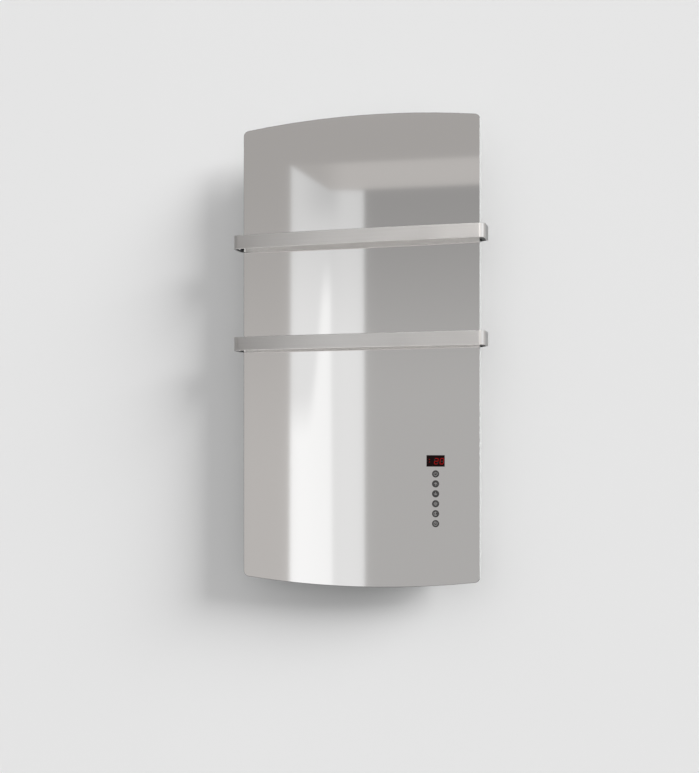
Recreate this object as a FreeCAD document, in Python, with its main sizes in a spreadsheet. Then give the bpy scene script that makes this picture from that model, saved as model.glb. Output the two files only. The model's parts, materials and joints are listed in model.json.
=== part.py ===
import FreeCAD, Part
import math
import os
import re
import Sketcher

# A mirror-glass electric towel heater that hangs on a wall.
# The wall is the plane Y = 0 and the room lies towards -Y; Z is up and X is to the right.
# "Out" distances are measured from the wall into the room, so a place at "out" has Y = -out.
# The origin is the middle of the four wall bolts, level with the middle of the glass.

doc = FreeCAD.newDocument("mirror_towel_heater")
sheet = doc.addObject("Spreadsheet::Sheet", "Sizes")

sizes = {
    # mirror sheet
    "glass_width": 520,
    "glass_height": 1004,
    "glass_rise": 17,
    "glass_corner": 12,
    "glass_thick": 6,
    "glass_bevel": 0.8,
    # towel bars: flat strip, bowed to the room, with ends turned back past the glass
    "bar_height": 29.6,
    "bar_thick": 3.5,
    "bar_reach": 29.5,
    "bar_bow": 8,
    "bar_overhang": 14.8,
    "bar_corner": 13,
    "bar_edge_round": 1.2,
    "leg_return": 15,
    "upper_bar_drop": 262.8,
    "bar_spacing": 220,
    # brackets between bar ends and casing brim
    "bracket_recess": 2,
    "bracket_inset": 0.5,
    "bracket_clearance": 1,
    "nose_gap": 3.5,
    "nose_clearance": 0.4,
    "tab_thick": 6,
    "tab_width": 24,
    "tab_height": 35,
    "tab_notch": 12,
    "tab_screw_inset": 12,
    "tab_screw_level": 13,
    "bar_screw_edge": 4.5,
    "bar_screw_bite": 2.5,
    "screw_radius": 2,
    "screw_head_radius": 3.5,
    "screw_head_thick": 2.4,
    "screw_clearance": 0.2,
    # sheet-metal casing
    "wall_gap": 20,
    "casing_depth": 48,
    "casing_inset": 40,
    "casing_end_inset": 56,
    "casing_corner": 14,
    "brim_width": 32,
    "brim_corner": 20,
    "sheet_thick": 1.2,
    "flange_width": 16,
    "vent_width": 22,
    "vent_slot": 6,
    "vent_pitch": 34,
    "vent_count": 9,
    "vent_margin": 14,
    # rear cover
    "cover_clearance": 0.5,
    "cover_screw_inset": 8,
    "cover_screw_span": 250,
    "louvre_drop": 106,
    "louvre_rise": 184,
    "louvre_width": 5,
    "louvre_height": 40,
    "louvre_pitch": 24,
    "louvre_count": 13,
    "bead_offset": 55,
    "bead_width": 18,
    "bead_gap": 30,
    "bead_rise": 2.4,
    # glass bond and heating layers
    "seal_thick": 3,
    "seal_width": 14,
    "seal_inset": 5,
    "film_thick": 0.8,
    "spreader_thick": 1.5,
    "mat_thick": 12,
    "layer_margin": 10,
    "layer_window_gap": 4,
    # touch control
    "key_edge": 93.3,
    "key_drop": 27.2,
    "key_pitch": 20.8,
    "key_count": 6,
    "key_radius": 7.6,
    "display_rise": 268.2,
    "display_width": 38.8,
    "display_height": 24,
    "inlay_depth": 0.5,
    "inlay_gap": 0.1,
    "housing_wall": 2,
    "housing_depth": 24,
    "housing_side": 10.3,
    "housing_margin": 8,
    "board_thick": 1.6,
    "board_gap": 0.4,
    "foam_radius": 5,
    "touch_gap": 8,
    # power board and wiring parts
    "power_inset": 90,
    "power_rise": 106,
    "part_gap": 9.5,
    "power_post_height": 6,
    "power_post_radius": 3.5,
    "power_post_inset": 6,
    "relay_width": 20,
    "relay_height": 16,
    "relay_depth": 15,
    "core_width": 34,
    "core_height": 28,
    "core_depth": 20,
    "core_window": 6,
    "capacitor_radius": 6.5,
    "capacitor_depth": 18,
    "fuse_radius": 2.6,
    "fuse_length": 22,
    "fuse_clip": 5,
    "terminal_inset": 92,
    "terminal_rise": 34,
    "terminal_width": 36,
    "terminal_height": 20,
    "terminal_depth": 16,
    "terminal_poles": 3,
    "terminal_pitch": 11,
    "terminal_hole": 2.2,
    "earth_inset": 140,
    "earth_radius": 2.5,
    "earth_length": 15,
    "earth_nut_radius": 4.6,
    "earth_nut_thick": 4,
    "cutout_drop": 146,
    "cutout_radius": 8,
    "cutout_depth": 9,
    "cutout_flange": 1,
    # cable gland and room sensor in the bottom wall
    "gland_inset": 35,
    "gland_bore": 4.3,
    "gland_thread": 6,
    "gland_hex": 8.5,
    "gland_dome": 7.4,
    "gland_flange": 6,
    "gland_dome_height": 10,
    "gland_reach": 10,
    "gland_nut_thick": 4,
    "probe_radius": 2.5,
    "probe_length": 30,
    "probe_show": 7,
    "grommet_radius": 6.5,
    "grommet_lip": 1.5,
    "grommet_hole": 5,
    # mains rocker in the right-hand wall
    "switch_rise": 34,
    "switch_width": 13,
    "switch_length": 19.5,
    "switch_depth": 18,
    "bezel_lip": 1.2,
    "bezel_thick": 2,
    "switch_wall": 1.5,
    "switch_end": 1.25,
    "rocker_gap": 0.3,
    "rocker_play": 0.9,
    "rocker_slot_depth": 11,
    "rocker_sink": 3,
    "rocker_half_thick": 3,
    "rocker_dish": 1.4,
    "rocker_tilt": 10,
    "trunnion_radius": 1.5,
    "trunnion_clearance": 0.05,
    # wall bracket
    "rail_thick": 2,
    "rail_width": 30,
    "rail_end": 30,
    "rail_clearance": 5,
    "bolt_span_x": 200,
    "bolt_span_z": 480,
    "bolt_radius": 3.5,
    "hook_drop": 40,
    "hook_neck": 14,
    "hook_lip_thick": 3,
    "hook_lead": 1.5,
    "hook_clearance": 0.8,
    "lift_travel": 12,
    "lift_clearance": 2,
    "slot_width": 6,
    "cross_drop": 90,
    "cross_height": 30,
    "cross_clearance": 0.5,
    "rivet_radius": 2.4,
    "rivet_hole": 2.5,
    "rivet_head_radius": 4.5,
    "rivet_head_thick": 1.6,
    # rubber stand-offs that keep the bottom of the casing off the wall
    "buffer_inset": 55,
    "buffer_rise": 58,
    "buffer_radius": 13,
    "buffer_tip_radius": 10,
    "buffer_tip": 6,
}

# Places and lengths that follow from the sizes above.
places = {
    "glass_half": "glass_width / 2",
    "glass_side": "glass_height / 2 - glass_rise",
    "glass_arc": "(glass_half ^ 2 + glass_rise ^ 2) / (2 * glass_rise)",
    "casing_front": "wall_gap + casing_depth",
    "glass_back": "casing_front + seal_thick",
    "glass_front": "glass_back + glass_thick",
    "casing_half": "glass_half - casing_inset",
    "casing_top": "glass_height / 2 - casing_end_inset",
    "inner_half": "casing_half - sheet_thick",
    "inner_top": "casing_top - sheet_thick",
    "inner_corner": "casing_corner - sheet_thick",
    "brim_half": "casing_half + brim_width",
    "brim_top": "casing_top + brim_width",
    "brim_back": "casing_front - sheet_thick",
    "wall_middle": "wall_gap + casing_depth / 2",
    "cover_front": "wall_gap + sheet_thick",
    "flange_front": "cover_front + sheet_thick",
    "cover_half": "inner_half - cover_clearance",
    "cover_top": "inner_top - cover_clearance",
    "cover_screw_x": "inner_half - cover_screw_inset",
    "cover_screw_top": "inner_top - cover_screw_inset",
    "upper_louvre_level": "casing_top - louvre_drop",
    "lower_louvre_level": "louvre_rise - casing_top",
    "bead_top": "upper_louvre_level - louvre_height / 2 - bead_gap",
    "bead_bottom": "lower_louvre_level + louvre_height / 2 + bead_gap",
    "upper_bar_level": "glass_height / 2 - upper_bar_drop",
    "lower_bar_level": "upper_bar_level - bar_spacing",
    "bar_outer": "glass_half + bar_overhang",
    "bar_inner": "bar_outer - bar_thick",
    "bar_front": "glass_front + bar_reach",
    "bar_arc": "(bar_outer ^ 2 + bar_bow ^ 2) / (2 * bar_bow)",
    "bar_inner_arc": "bar_arc - bar_thick",
    "bar_inner_apex": "bar_front + bar_bow - bar_thick",
    "bar_inner_front": "bar_inner_apex - bar_inner_arc + sqrt(bar_inner_arc ^ 2 - bar_inner ^ 2)",
    "leg_end": "glass_front - leg_return",
    "cheek_inner": "glass_half + bracket_clearance",
    "cheek_front": "glass_front - bracket_recess",
    "cheek_half": "bar_height / 2 - bracket_inset",
    "bend_x": "bar_outer - bar_corner",
    "bend_out": "bar_front + bar_bow - bar_arc + sqrt((bar_arc - bar_corner) ^ 2 - bend_x ^ 2)",
    "bend_inner": "bar_corner - bar_thick",
    "nose_inner": "glass_half + nose_gap",
    "nose_start": "bend_out - nose_clearance",
    "nose_front": "nose_start + sqrt(bend_inner ^ 2 - (nose_inner - bend_x) ^ 2)",
    "tab_back": "brim_back - tab_thick",
    "tab_inner": "brim_half - tab_width",
    "tab_screw_x": "brim_half - tab_screw_inset",
    "bar_screw_out": "leg_end + bar_screw_edge",
    "film_back": "glass_back - film_thick",
    "spreader_back": "film_back - spreader_thick",
    "mat_back": "spreader_back - mat_thick",
    "layer_half": "inner_half - layer_margin",
    "layer_top": "inner_top - layer_margin",
    "cutout_level": "casing_top - cutout_drop",
    "key_column": "glass_half - key_edge",
    "display_level": "display_rise - glass_height / 2",
    "key_first_level": "display_level - key_drop",
    "key_last_level": "key_first_level - (key_count - 1) * key_pitch",
    "housing_half": "display_width / 2 + housing_side",
    "housing_left": "key_column - housing_half",
    "housing_right": "key_column + housing_half",
    "housing_top": "display_level + display_height / 2 + housing_margin",
    "housing_bottom": "key_last_level - key_radius - housing_margin",
    "housing_back": "glass_back - housing_depth",
    "board_front": "glass_back - touch_gap",
    "board_back": "board_front - board_thick",
    "display_module_depth": "touch_gap - board_gap",
    "power_board_x": "power_inset - casing_half",
    "power_board_level": "power_rise - casing_top",
    "power_edge": "2 * power_post_inset",
    "power_parts_width": "relay_width + 2 * capacitor_radius + core_width",
    "power_board_width": "2 * power_edge + power_parts_width + 2 * part_gap",
    "power_board_height": "2 * power_edge + core_height + part_gap + 2 * fuse_radius",
    "power_left": "power_board_x - power_board_width / 2",
    "power_right": "power_board_x + power_board_width / 2",
    "power_low": "power_board_level - power_board_height / 2",
    "power_high": "power_board_level + power_board_height / 2",
    "parts_left": "power_left + power_edge",
    "parts_low": "power_low + power_edge",
    "capacitor_x": "parts_left + relay_width + part_gap + capacitor_radius",
    "core_left": "capacitor_x + capacitor_radius + part_gap",
    "fuse_level": "power_high - power_edge - fuse_radius",
    "power_back": "cover_front + power_post_height",
    "power_front": "power_back + board_thick",
    "fuse_out": "power_front + fuse_clip",
    "terminal_x": "terminal_inset - casing_half",
    "terminal_level": "terminal_rise - casing_top",
    "earth_x": "earth_inset - casing_half",
    "gland_x": "gland_inset - casing_half",
    "probe_x": "casing_half - gland_inset",
    "switch_level": "switch_rise - casing_top",
    "rocker_slot_width": "switch_width - 2 * switch_wall",
    "rocker_slot_length": "switch_length - 2 * switch_end",
    "rocker_width": "rocker_slot_width - 2 * rocker_gap",
    "rocker_length": "rocker_slot_length - 2 * rocker_play",
    "trunnion_length": "switch_wall - rocker_gap",
    "switch_mouth": "casing_half + bezel_thick",
    "rocker_pivot": "switch_mouth - rocker_sink",
    "rail_x": "bolt_span_x / 2",
    "rail_edge": "rail_x + rail_width / 2",
    "rail_length": "bolt_span_z + 2 * rail_end",
    "rail_stand": "wall_gap - rail_clearance",
    "hook_level": "bolt_span_z / 2 - hook_drop",
    "hook_lip": "lift_travel - lift_clearance",
    "cross_level": "bolt_span_z / 2 - cross_drop",
    "buffer_x": "casing_half - buffer_inset",
    "buffer_level": "buffer_rise - casing_top",
    "hook_x": "rail_edge - rail_thick / 2",
    "hook_lip_back": "cover_front + hook_clearance",
    "hook_lip_front": "hook_lip_back + hook_lip_thick",
    "slot_height": "hook_neck + lift_travel + lift_clearance",
    "cross_front": "2 * rail_thick",
}

for row, (alias, size) in enumerate(sizes.items(), start=1):
    sheet.set(f"A{row}", alias)
    sheet.set(f"B{row}", str(size))
    sheet.setAlias(f"B{row}", alias)
doc.recompute()

sub_parts = []
sketch_planes = {"front": "XZ_Plane", "side": "YZ_Plane", "plan": "XY_Plane"}


def cells(formula):
    """Spell a formula out in the sheet's own cells."""

    def spell(match):
        word = match.group(0)
        if word in places:
            return "(" + cells(places[word]) + ")"
        if word in sizes:
            return "Sizes." + word
        return word

    return re.sub(r"[a-z][a-z0-9_]*", spell, str(formula))


def number(formula):
    """Work a formula out in millimetres."""
    return float(sheet.evalExpression(cells(formula)))


def bind(item, name, formula):
    item.setExpression(name, cells(formula))


def new_body(label):
    body = doc.addObject("PartDesign::Body", label)
    body.Label = label
    body.AllowCompound = True
    sub_parts.append(body)
    return body


def new_sketch(body, view, offset="0"):
    """Start a sketch on one of the body's own planes, moved along its normal by offset."""
    role = sketch_planes[view]
    plane = next(item for item in body.Origin.OriginFeatures if item.Role == role)
    sketch = body.newObject("Sketcher::SketchObject", body.Label + "_sketch")
    sketch.AttachmentSupport = (plane, "")
    sketch.MapMode = "FlatFace"
    bind(sketch, "AttachmentOffset.Base.z", offset)
    return sketch


def dimension(sketch, formula, kind, *where):
    """Add a sketch dimension that follows a formula."""
    index = sketch.addConstraint(Sketcher.Constraint(kind, *where, number(formula)))
    sketch.setExpression(f"Constraints[{index}]", cells(formula))


def pin(sketch, shape, point, x, y):
    """Dimension one point of a shape from the sketch's origin."""
    dimension(sketch, x, "DistanceX", -1, 1, shape, point)
    dimension(sketch, y, "DistanceY", -1, 1, shape, point)


def spot(x, y):
    return FreeCAD.Vector(number(x), number(y), 0)


def outline(sketch, *corners):
    """Draw a closed outline; a corner with a third and fourth entry starts an arc.

    The third entry is a point that the arc passes through and the fourth its radius,
    or None for a half circle, whose centre is level with its ends.
    """
    shapes = []
    for here, after in zip(corners, corners[1:] + corners[:1]):
        start = spot(*here[:2])
        end = spot(*after[:2])
        ends = (1, 2)
        if len(here) == 2:
            shape = sketch.addGeometry(Part.LineSegment(start, end))
        else:
            middle = spot(*here[2])
            if (middle - start).cross(end - middle).z < 0:
                start, end = end, start
                ends = (2, 1)
            shape = sketch.addGeometry(Part.Arc(start, middle, end))
        shapes.append((shape, ends))
    for index, (shape, ends) in enumerate(shapes):
        before, before_ends = shapes[index - 1]
        join = Sketcher.Constraint("Coincident", before, before_ends[1], shape, ends[0])
        sketch.addConstraint(join)
        pin(sketch, shape, ends[0], *corners[index][:2])
        if len(corners[index]) == 2:
            continue
        radius = corners[index][3]
        if radius:
            dimension(sketch, radius, "Radius", shape)
        else:
            dimension(sketch, corners[index][1], "DistanceY", -1, 1, shape, 3)


def rectangle(sketch, left, bottom, right, top):
    outline(sketch, (left, bottom), (right, bottom), (right, top), (left, top))


def rounded(sketch, left, bottom, right, top, radius):
    """Draw a rectangle with round corners."""
    nip = f"({radius}) * {1 - math.sqrt(0.5)}"
    outline(
        sketch,
        (f"{left} + ({radius})", bottom),
        (f"{right} - ({radius})", bottom, (f"{right} - {nip}", f"{bottom} + {nip}"), radius),
        (right, f"{bottom} + ({radius})"),
        (right, f"{top} - ({radius})", (f"{right} - {nip}", f"{top} - {nip}"), radius),
        (f"{right} - ({radius})", top),
        (f"{left} + ({radius})", top, (f"{left} + {nip}", f"{top} - {nip}"), radius),
        (left, f"{top} - ({radius})"),
        (left, f"{bottom} + ({radius})", (f"{left} + {nip}", f"{bottom} + {nip}"), radius),
    )


def upright_slot(sketch, x, middle, width, height):
    """Draw a vertical slot with round ends."""
    half = f"({width}) / 2"
    straight = f"(({height}) - ({width})) / 2"
    low = f"{middle} - {straight}"
    high = f"{middle} + {straight}"
    outline(
        sketch,
        (f"{x} - {half}", low, (x, f"{low} - {half}"), None),
        (f"{x} + {half}", low),
        (f"{x} + {half}", high, (x, f"{high} + {half}"), None),
        (f"{x} - {half}", high),
    )


def circle(sketch, x, y, radius):
    ring = Part.Circle(spot(x, y), FreeCAD.Vector(0, 0, 1), number(radius))
    shape = sketch.addGeometry(ring)
    pin(sketch, shape, 3, x, y)
    dimension(sketch, radius, "Radius", shape)


def hexagon(sketch, x, y, flats):
    """Draw a hexagon, given its half width across the flats, with flats left and right."""
    corner = f"({flats}) * {2 / math.sqrt(3)}"
    half = f"({corner}) / 2"
    outline(
        sketch,
        (x, f"{y} - {corner}"),
        (f"{x} + ({flats})", f"{y} - {half}"),
        (f"{x} + ({flats})", f"{y} + {half}"),
        (x, f"{y} + {corner}"),
        (f"{x} - ({flats})", f"{y} + {half}"),
        (f"{x} - ({flats})", f"{y} - {half}"),
    )


def pad(body, sketch, length, backwards=False):
    """Raise a sketch into a solid along its plane's normal."""
    feature = body.newObject("PartDesign::Pad", body.Label + "_pad")
    feature.Profile = sketch
    feature.Reversed = backwards
    bind(feature, "Length", length)
    doc.recompute()
    return feature


def pocket(body, sketch, length, backwards=False, both=False):
    """Cut a sketch out of the solid, against its plane's normal unless backwards."""
    before = body.Shape.Volume
    feature = body.newObject("PartDesign::Pocket", body.Label + "_pocket")
    feature.Profile = sketch
    feature.Reversed = backwards
    feature.Midplane = both
    bind(feature, "Length", length)
    doc.recompute()
    if body.Shape.Volume >= before:
        raise RuntimeError(feature.Name + " cuts nothing")
    return feature


def row_of(body, feature, sketch, pitch, count):
    """Repeat a feature in a row along its sketch's horizontal axis."""
    pattern = body.newObject("PartDesign::LinearPattern", body.Label + "_row")
    pattern.Originals = [feature]
    pattern.Direction = (sketch, ["H_Axis"])
    bind(pattern, "Length", f"({pitch}) * (({count}) - 1)")
    bind(pattern, "Occurrences", count)
    body.Tip = pattern
    doc.recompute()
    return pattern


def edges_of(feature, wanted):
    """Name the edges of a feature that pass a test."""
    return [f"Edge{n}" for n, edge in enumerate(feature.Shape.Edges, start=1) if wanted(edge)]


def soften(body, feature, kind, size_name, size, wanted):
    """Round or bevel the chosen edges of a feature."""
    edge_work = body.newObject("PartDesign::" + kind, body.Label + "_" + kind.lower())
    edge_work.Base = (feature, edges_of(feature, wanted))
    bind(edge_work, size_name, size)
    doc.recompute()
    return edge_work


def is_near(a, b):
    return abs(a - b) < 0.01


def runs_along(edge, axis):
    """Tell whether an edge is straight and lies along X, Y or Z."""
    if edge.Curve.TypeId != "Part::GeomLine":
        return False
    direction = edge.tangentAt(edge.FirstParameter)
    return is_near(abs(getattr(direction, axis)), 1)


def lies_at(edge, axis, place):
    """Tell whether the whole edge lies at one place along X, Y or Z."""
    box = edge.BoundBox
    low = getattr(box, axis.upper() + "Min")
    high = getattr(box, axis.upper() + "Max")
    return is_near(low, place) and is_near(high, place)


def key_levels():
    return [f"key_first_level - {n} * key_pitch" for n in range(int(number("key_count")))]


# Mirror sheet: straight sides, arched top and bottom, small round corners and a polished bevel.
def make_mirror_glass():
    body = new_body("mirror_glass")
    sketch = new_sketch(body, "front", "glass_back")
    outline(
        sketch,
        ("-glass_half", "-glass_side", ("0", "-glass_height / 2"), "glass_arc"),
        ("glass_half", "-glass_side"),
        ("glass_half", "glass_side", ("0", "glass_height / 2"), "glass_arc"),
        ("-glass_half", "glass_side"),
    )
    slab = pad(body, sketch, "glass_thick")
    corners = soften(body, slab, "Fillet", "Radius", "glass_corner", lambda edge: runs_along(edge, "y"))
    front = -number("glass_front")
    soften(body, corners, "Chamfer", "Size", "glass_bevel", lambda edge: lies_at(edge, "y", front))
    window = new_sketch(body, "front", "glass_front")
    draw_display_window(window, "0")
    pocket(body, window, "inlay_depth")
    marks = new_sketch(body, "front", "glass_front")
    for level in key_levels():
        circle(marks, "key_column", level, "key_radius")
    pocket(body, marks, "inlay_depth")


def draw_display_window(sketch, gap):
    left = f"key_column - display_width / 2 + {gap}"
    right = f"key_column + display_width / 2 - {gap}"
    low = f"display_level - display_height / 2 + {gap}"
    high = f"display_level + display_height / 2 - {gap}"
    rectangle(sketch, left, low, right, high)


# Dark display window and six round touch marks, let into the face of the glass.
def make_inlays():
    window = new_body("display_window")
    sketch = new_sketch(window, "front", "glass_front - inlay_depth")
    draw_display_window(sketch, "inlay_gap")
    pad(window, sketch, "inlay_depth")
    marks = new_body("touch_key_marks")
    sketch = new_sketch(marks, "front", "glass_front - inlay_depth")
    for level in key_levels():
        circle(sketch, "key_column", level, "key_radius - inlay_gap")
    pad(marks, sketch, "inlay_depth")


# Towel bar: one flat strip, bowed towards the room, whose ends turn back past the glass edges.
def make_towel_bar(label, level):
    body = new_body(label)
    sketch = new_sketch(body, "plan", f"{level} - bar_height / 2")
    outline(
        sketch,
        ("-bar_outer", "-leg_end"),
        ("-bar_outer", "-bar_front", ("0", "-bar_front - bar_bow"), "bar_arc"),
        ("bar_outer", "-bar_front"),
        ("bar_outer", "-leg_end"),
        ("bar_inner", "-leg_end"),
        ("bar_inner", "-bar_inner_front", ("0", "-bar_inner_apex"), "bar_inner_arc"),
        ("-bar_inner", "-bar_inner_front"),
        ("-bar_inner", "-leg_end"),
    )
    strip = pad(body, sketch, "bar_height")
    outer = number("bar_outer")
    inner = number("bar_inner")
    front = -number("glass_front")
    turns = [(outer, "bar_corner"), (inner, "bar_corner - bar_thick")]
    for half_width, radius in turns:

        def at_turn(edge):
            point = edge.CenterOfMass
            return runs_along(edge, "z") and is_near(abs(point.x), half_width) and point.y < front

        strip = soften(body, strip, "Fillet", "Radius", radius, at_turn)
    bottom = number(f"{level} - bar_height / 2")
    top = number(f"{level} + bar_height / 2")
    leg_end = -number("leg_end")

    def along_strip(edge):
        flat = lies_at(edge, "z", bottom) or lies_at(edge, "z", top)
        return flat and not lies_at(edge, "y", leg_end)

    soften(body, strip, "Fillet", "Radius", "bar_edge_round", along_strip)
    for side in (-1, 1):
        hole = new_sketch(body, "side", f"{side} * bar_inner")
        circle(hole, "-bar_screw_out", level, "screw_radius + screw_clearance")
        pocket(body, hole, "bar_screw_bite", backwards=side > 0)


# Moulded bracket: a tab under the casing brim and a cheek whose nose fills the turn of the bar's end.
def make_bar_bracket(label, side, level):
    body = new_body(label)
    inner = f"{side} * tab_inner"
    cheek = f"{side} * cheek_inner"
    outer = f"{side} * bar_inner"
    tab = new_sketch(body, "front", "tab_back")
    half = "tab_height / 2"
    outline(
        tab,
        (inner, f"{level} - {half}"),
        (f"{side} * brim_half", f"{level} - {half}"),
        (outer, f"{level} - cheek_half"),
        (outer, f"{level} + cheek_half"),
        (f"{side} * brim_half", f"{level} + {half}"),
        (inner, f"{level} + {half}"),
        (inner, f"{level} + tab_notch / 2"),
        (cheek, f"{level} + tab_notch / 2"),
        (cheek, f"{level} - tab_notch / 2"),
        (inner, f"{level} - tab_notch / 2"),
    )
    pad(body, tab, "tab_thick")
    wall = new_sketch(body, "plan", f"{level} - cheek_half")
    nose = f"{side} * nose_inner"
    outline(
        wall,
        (cheek, "-tab_back"),
        (cheek, "-cheek_front"),
        (nose, "-cheek_front"),
        (nose, "-nose_front"),
        (outer, "-nose_start"),
        (outer, "-tab_back"),
    )
    pad(body, wall, "2 * cheek_half")
    holes = new_sketch(body, "front", "brim_back")
    for step in (-1, 1):
        screw_level = f"{level} + {step} * tab_screw_level"
        circle(holes, f"{side} * tab_screw_x", screw_level, "screw_radius + screw_clearance")
    pocket(body, holes, "tab_thick")
    hole = new_sketch(body, "side", cheek)
    circle(hole, "-bar_screw_out", level, "screw_radius + screw_clearance")
    pocket(body, hole, "bar_inner - cheek_inner", backwards=side > 0)


bar_levels = {"upper": "upper_bar_level", "lower": "lower_bar_level"}
bar_sides = {"left": -1, "right": 1}


def make_bars():
    for height, level in bar_levels.items():
        make_towel_bar(height + "_towel_bar", level)
        for name, side in bar_sides.items():
            make_bar_bracket(f"{height}_{name}_bar_bracket", side, level)


# Screws: four hold the bars to their brackets, eight hold the brackets under the brim.
def make_bar_screws():
    body = new_body("bar_screws")
    for side in bar_sides.values():
        heads = new_sketch(body, "side", f"{side} * cheek_inner")
        shanks = new_sketch(body, "side", f"{side} * cheek_inner")
        for level in bar_levels.values():
            circle(heads, "-bar_screw_out", level, "screw_head_radius")
            circle(shanks, "-bar_screw_out", level, "screw_radius")
        pad(body, heads, "screw_head_thick", backwards=side > 0)
        reach = "bar_inner - cheek_inner + bar_screw_bite - screw_clearance"
        pad(body, shanks, reach, backwards=side < 0)


def make_bracket_screws():
    body = new_body("bracket_screws")
    heads = new_sketch(body, "front", "tab_back")
    shanks = new_sketch(body, "front", "tab_back")
    for side in bar_sides.values():
        for level in bar_levels.values():
            for step in (-1, 1):
                place = (f"{side} * tab_screw_x", f"{level} + {step} * tab_screw_level")
                circle(heads, *place, "screw_head_radius")
                circle(shanks, *place, "screw_radius")
    pad(body, heads, "screw_head_thick", backwards=True)
    pad(body, shanks, "casing_front - tab_back")


# Casing shell: folded sheet walls, a wide brim under the glass and a narrow flange at the back.
def make_casing_shell():
    body = new_body("casing_shell")
    walls = new_sketch(body, "front", "wall_gap")
    rounded(walls, "-casing_half", "-casing_top", "casing_half", "casing_top", "casing_corner")
    pad(body, walls, "casing_depth")
    brim = new_sketch(body, "front", "brim_back")
    rounded(brim, "-brim_half", "-brim_top", "brim_half", "brim_top", "brim_corner")
    pad(body, brim, "sheet_thick")
    room = new_sketch(body, "front", "casing_front")
    rounded(room, "-inner_half", "-inner_top", "inner_half", "inner_top", "inner_corner")
    pocket(body, room, "casing_front - flange_front")
    seat = new_sketch(body, "front", "wall_gap")
    rounded(seat, "-inner_half", "-inner_top", "inner_half", "inner_top", "inner_corner")
    pocket(body, seat, "sheet_thick", backwards=True)
    mouth = new_sketch(body, "front", "flange_front")
    rectangle(
        mouth,
        "-inner_half + flange_width",
        "-inner_top + flange_width",
        "inner_half - flange_width",
        "inner_top - flange_width",
    )
    pocket(body, mouth, "sheet_thick")
    first = "-(vent_count - 1) / 2 * vent_pitch"
    vent = new_sketch(body, "plan")
    rectangle(
        vent,
        f"{first} - vent_width / 2",
        "-casing_front + vent_margin",
        f"{first} + vent_width / 2",
        "-casing_front + vent_margin + vent_slot",
    )
    vents = pocket(body, vent, "2 * casing_top + 2", both=True)
    row_of(body, vents, vent, "vent_pitch", "vent_count")
    opening = new_sketch(body, "side", "casing_half")
    rectangle(
        opening,
        "-wall_middle - switch_width / 2 - screw_clearance",
        "switch_level - switch_length / 2 - screw_clearance",
        "-wall_middle + switch_width / 2 + screw_clearance",
        "switch_level + switch_length / 2 + screw_clearance",
    )
    pocket(body, opening, "sheet_thick")
    entries = new_sketch(body, "plan", "-inner_top")
    circle(entries, "gland_x", "-wall_middle", "gland_thread + screw_clearance")
    circle(entries, "probe_x", "-wall_middle", "grommet_hole + screw_clearance")
    pocket(body, entries, "sheet_thick")
    brim_holes = new_sketch(body, "front", "casing_front")
    for side in bar_sides.values():
        for level in bar_levels.values():
            for step in (-1, 1):
                place = (f"{side} * tab_screw_x", f"{level} + {step} * tab_screw_level")
                circle(brim_holes, *place, "screw_radius + screw_clearance")
    pocket(body, brim_holes, "sheet_thick")
    flange_holes = new_sketch(body, "front", "flange_front")
    draw_cover_screws(flange_holes, "screw_radius + screw_clearance")
    pocket(body, flange_holes, "sheet_thick")


def draw_cover_screws(sketch, radius):
    """Draw one circle for each screw round the rear cover."""
    for side in bar_sides.values():
        for row in ("cover_screw_top", "cover_screw_span / 2", "-cover_screw_span / 2", "-cover_screw_top"):
            circle(sketch, f"{side} * cover_screw_x", row, radius)
    for row in ("cover_screw_top", "-cover_screw_top"):
        circle(sketch, "0", row, radius)


# Rear cover: a flat plate with hook slots, louvre rows and two pressed stiffening beads.
def make_rear_cover():
    body = new_body("rear_cover")
    plate = new_sketch(body, "front", "wall_gap")
    rounded(plate, "-cover_half", "-cover_top", "cover_half", "cover_top", "inner_corner")
    pad(body, plate, "sheet_thick")
    ridge = new_sketch(body, "front", "cover_front")
    groove = new_sketch(body, "front", "wall_gap")
    bead_middle = "(bead_top + bead_bottom) / 2"
    bead_height = "(bead_top - bead_bottom)"
    for side in bar_sides.values():
        bead_x = f"{side} * bead_offset"
        upright_slot(ridge, bead_x, bead_middle, "bead_width", bead_height)
        hollow = "(bead_width - 2 * sheet_thick)"
        upright_slot(groove, bead_x, bead_middle, hollow, f"({bead_height} - 2 * sheet_thick)")
    pad(body, ridge, "bead_rise")
    pocket(body, groove, "bead_rise", backwards=True)
    for level in ("upper_louvre_level", "lower_louvre_level"):
        louvre = new_sketch(body, "front", "cover_front")
        first = "-(louvre_count - 1) / 2 * louvre_pitch"
        upright_slot(louvre, first, level, "louvre_width", "louvre_height")
        opening = pocket(body, louvre, "sheet_thick")
        row_of(body, opening, louvre, "louvre_pitch", "louvre_count")
    slots = new_sketch(body, "front", "cover_front")
    for side in bar_sides.values():
        for row in (-1, 1):
            top = f"{row} * hook_level"
            left = f"{side} * hook_x - slot_width / 2"
            right = f"{side} * hook_x + slot_width / 2"
            rectangle(slots, left, f"{top} - slot_height", right, top)
    pocket(body, slots, "sheet_thick")
    holes = new_sketch(body, "front", "cover_front")
    draw_cover_screws(holes, "screw_radius + screw_clearance")
    pocket(body, holes, "sheet_thick")


def make_cover_screws():
    body = new_body("cover_screws")
    heads = new_sketch(body, "front", "wall_gap")
    draw_cover_screws(heads, "screw_head_radius")
    pad(body, heads, "screw_head_thick", backwards=True)
    shanks = new_sketch(body, "front", "wall_gap")
    draw_cover_screws(shanks, "screw_radius")
    pad(body, shanks, "flange_front - wall_gap + screw_radius")


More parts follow.
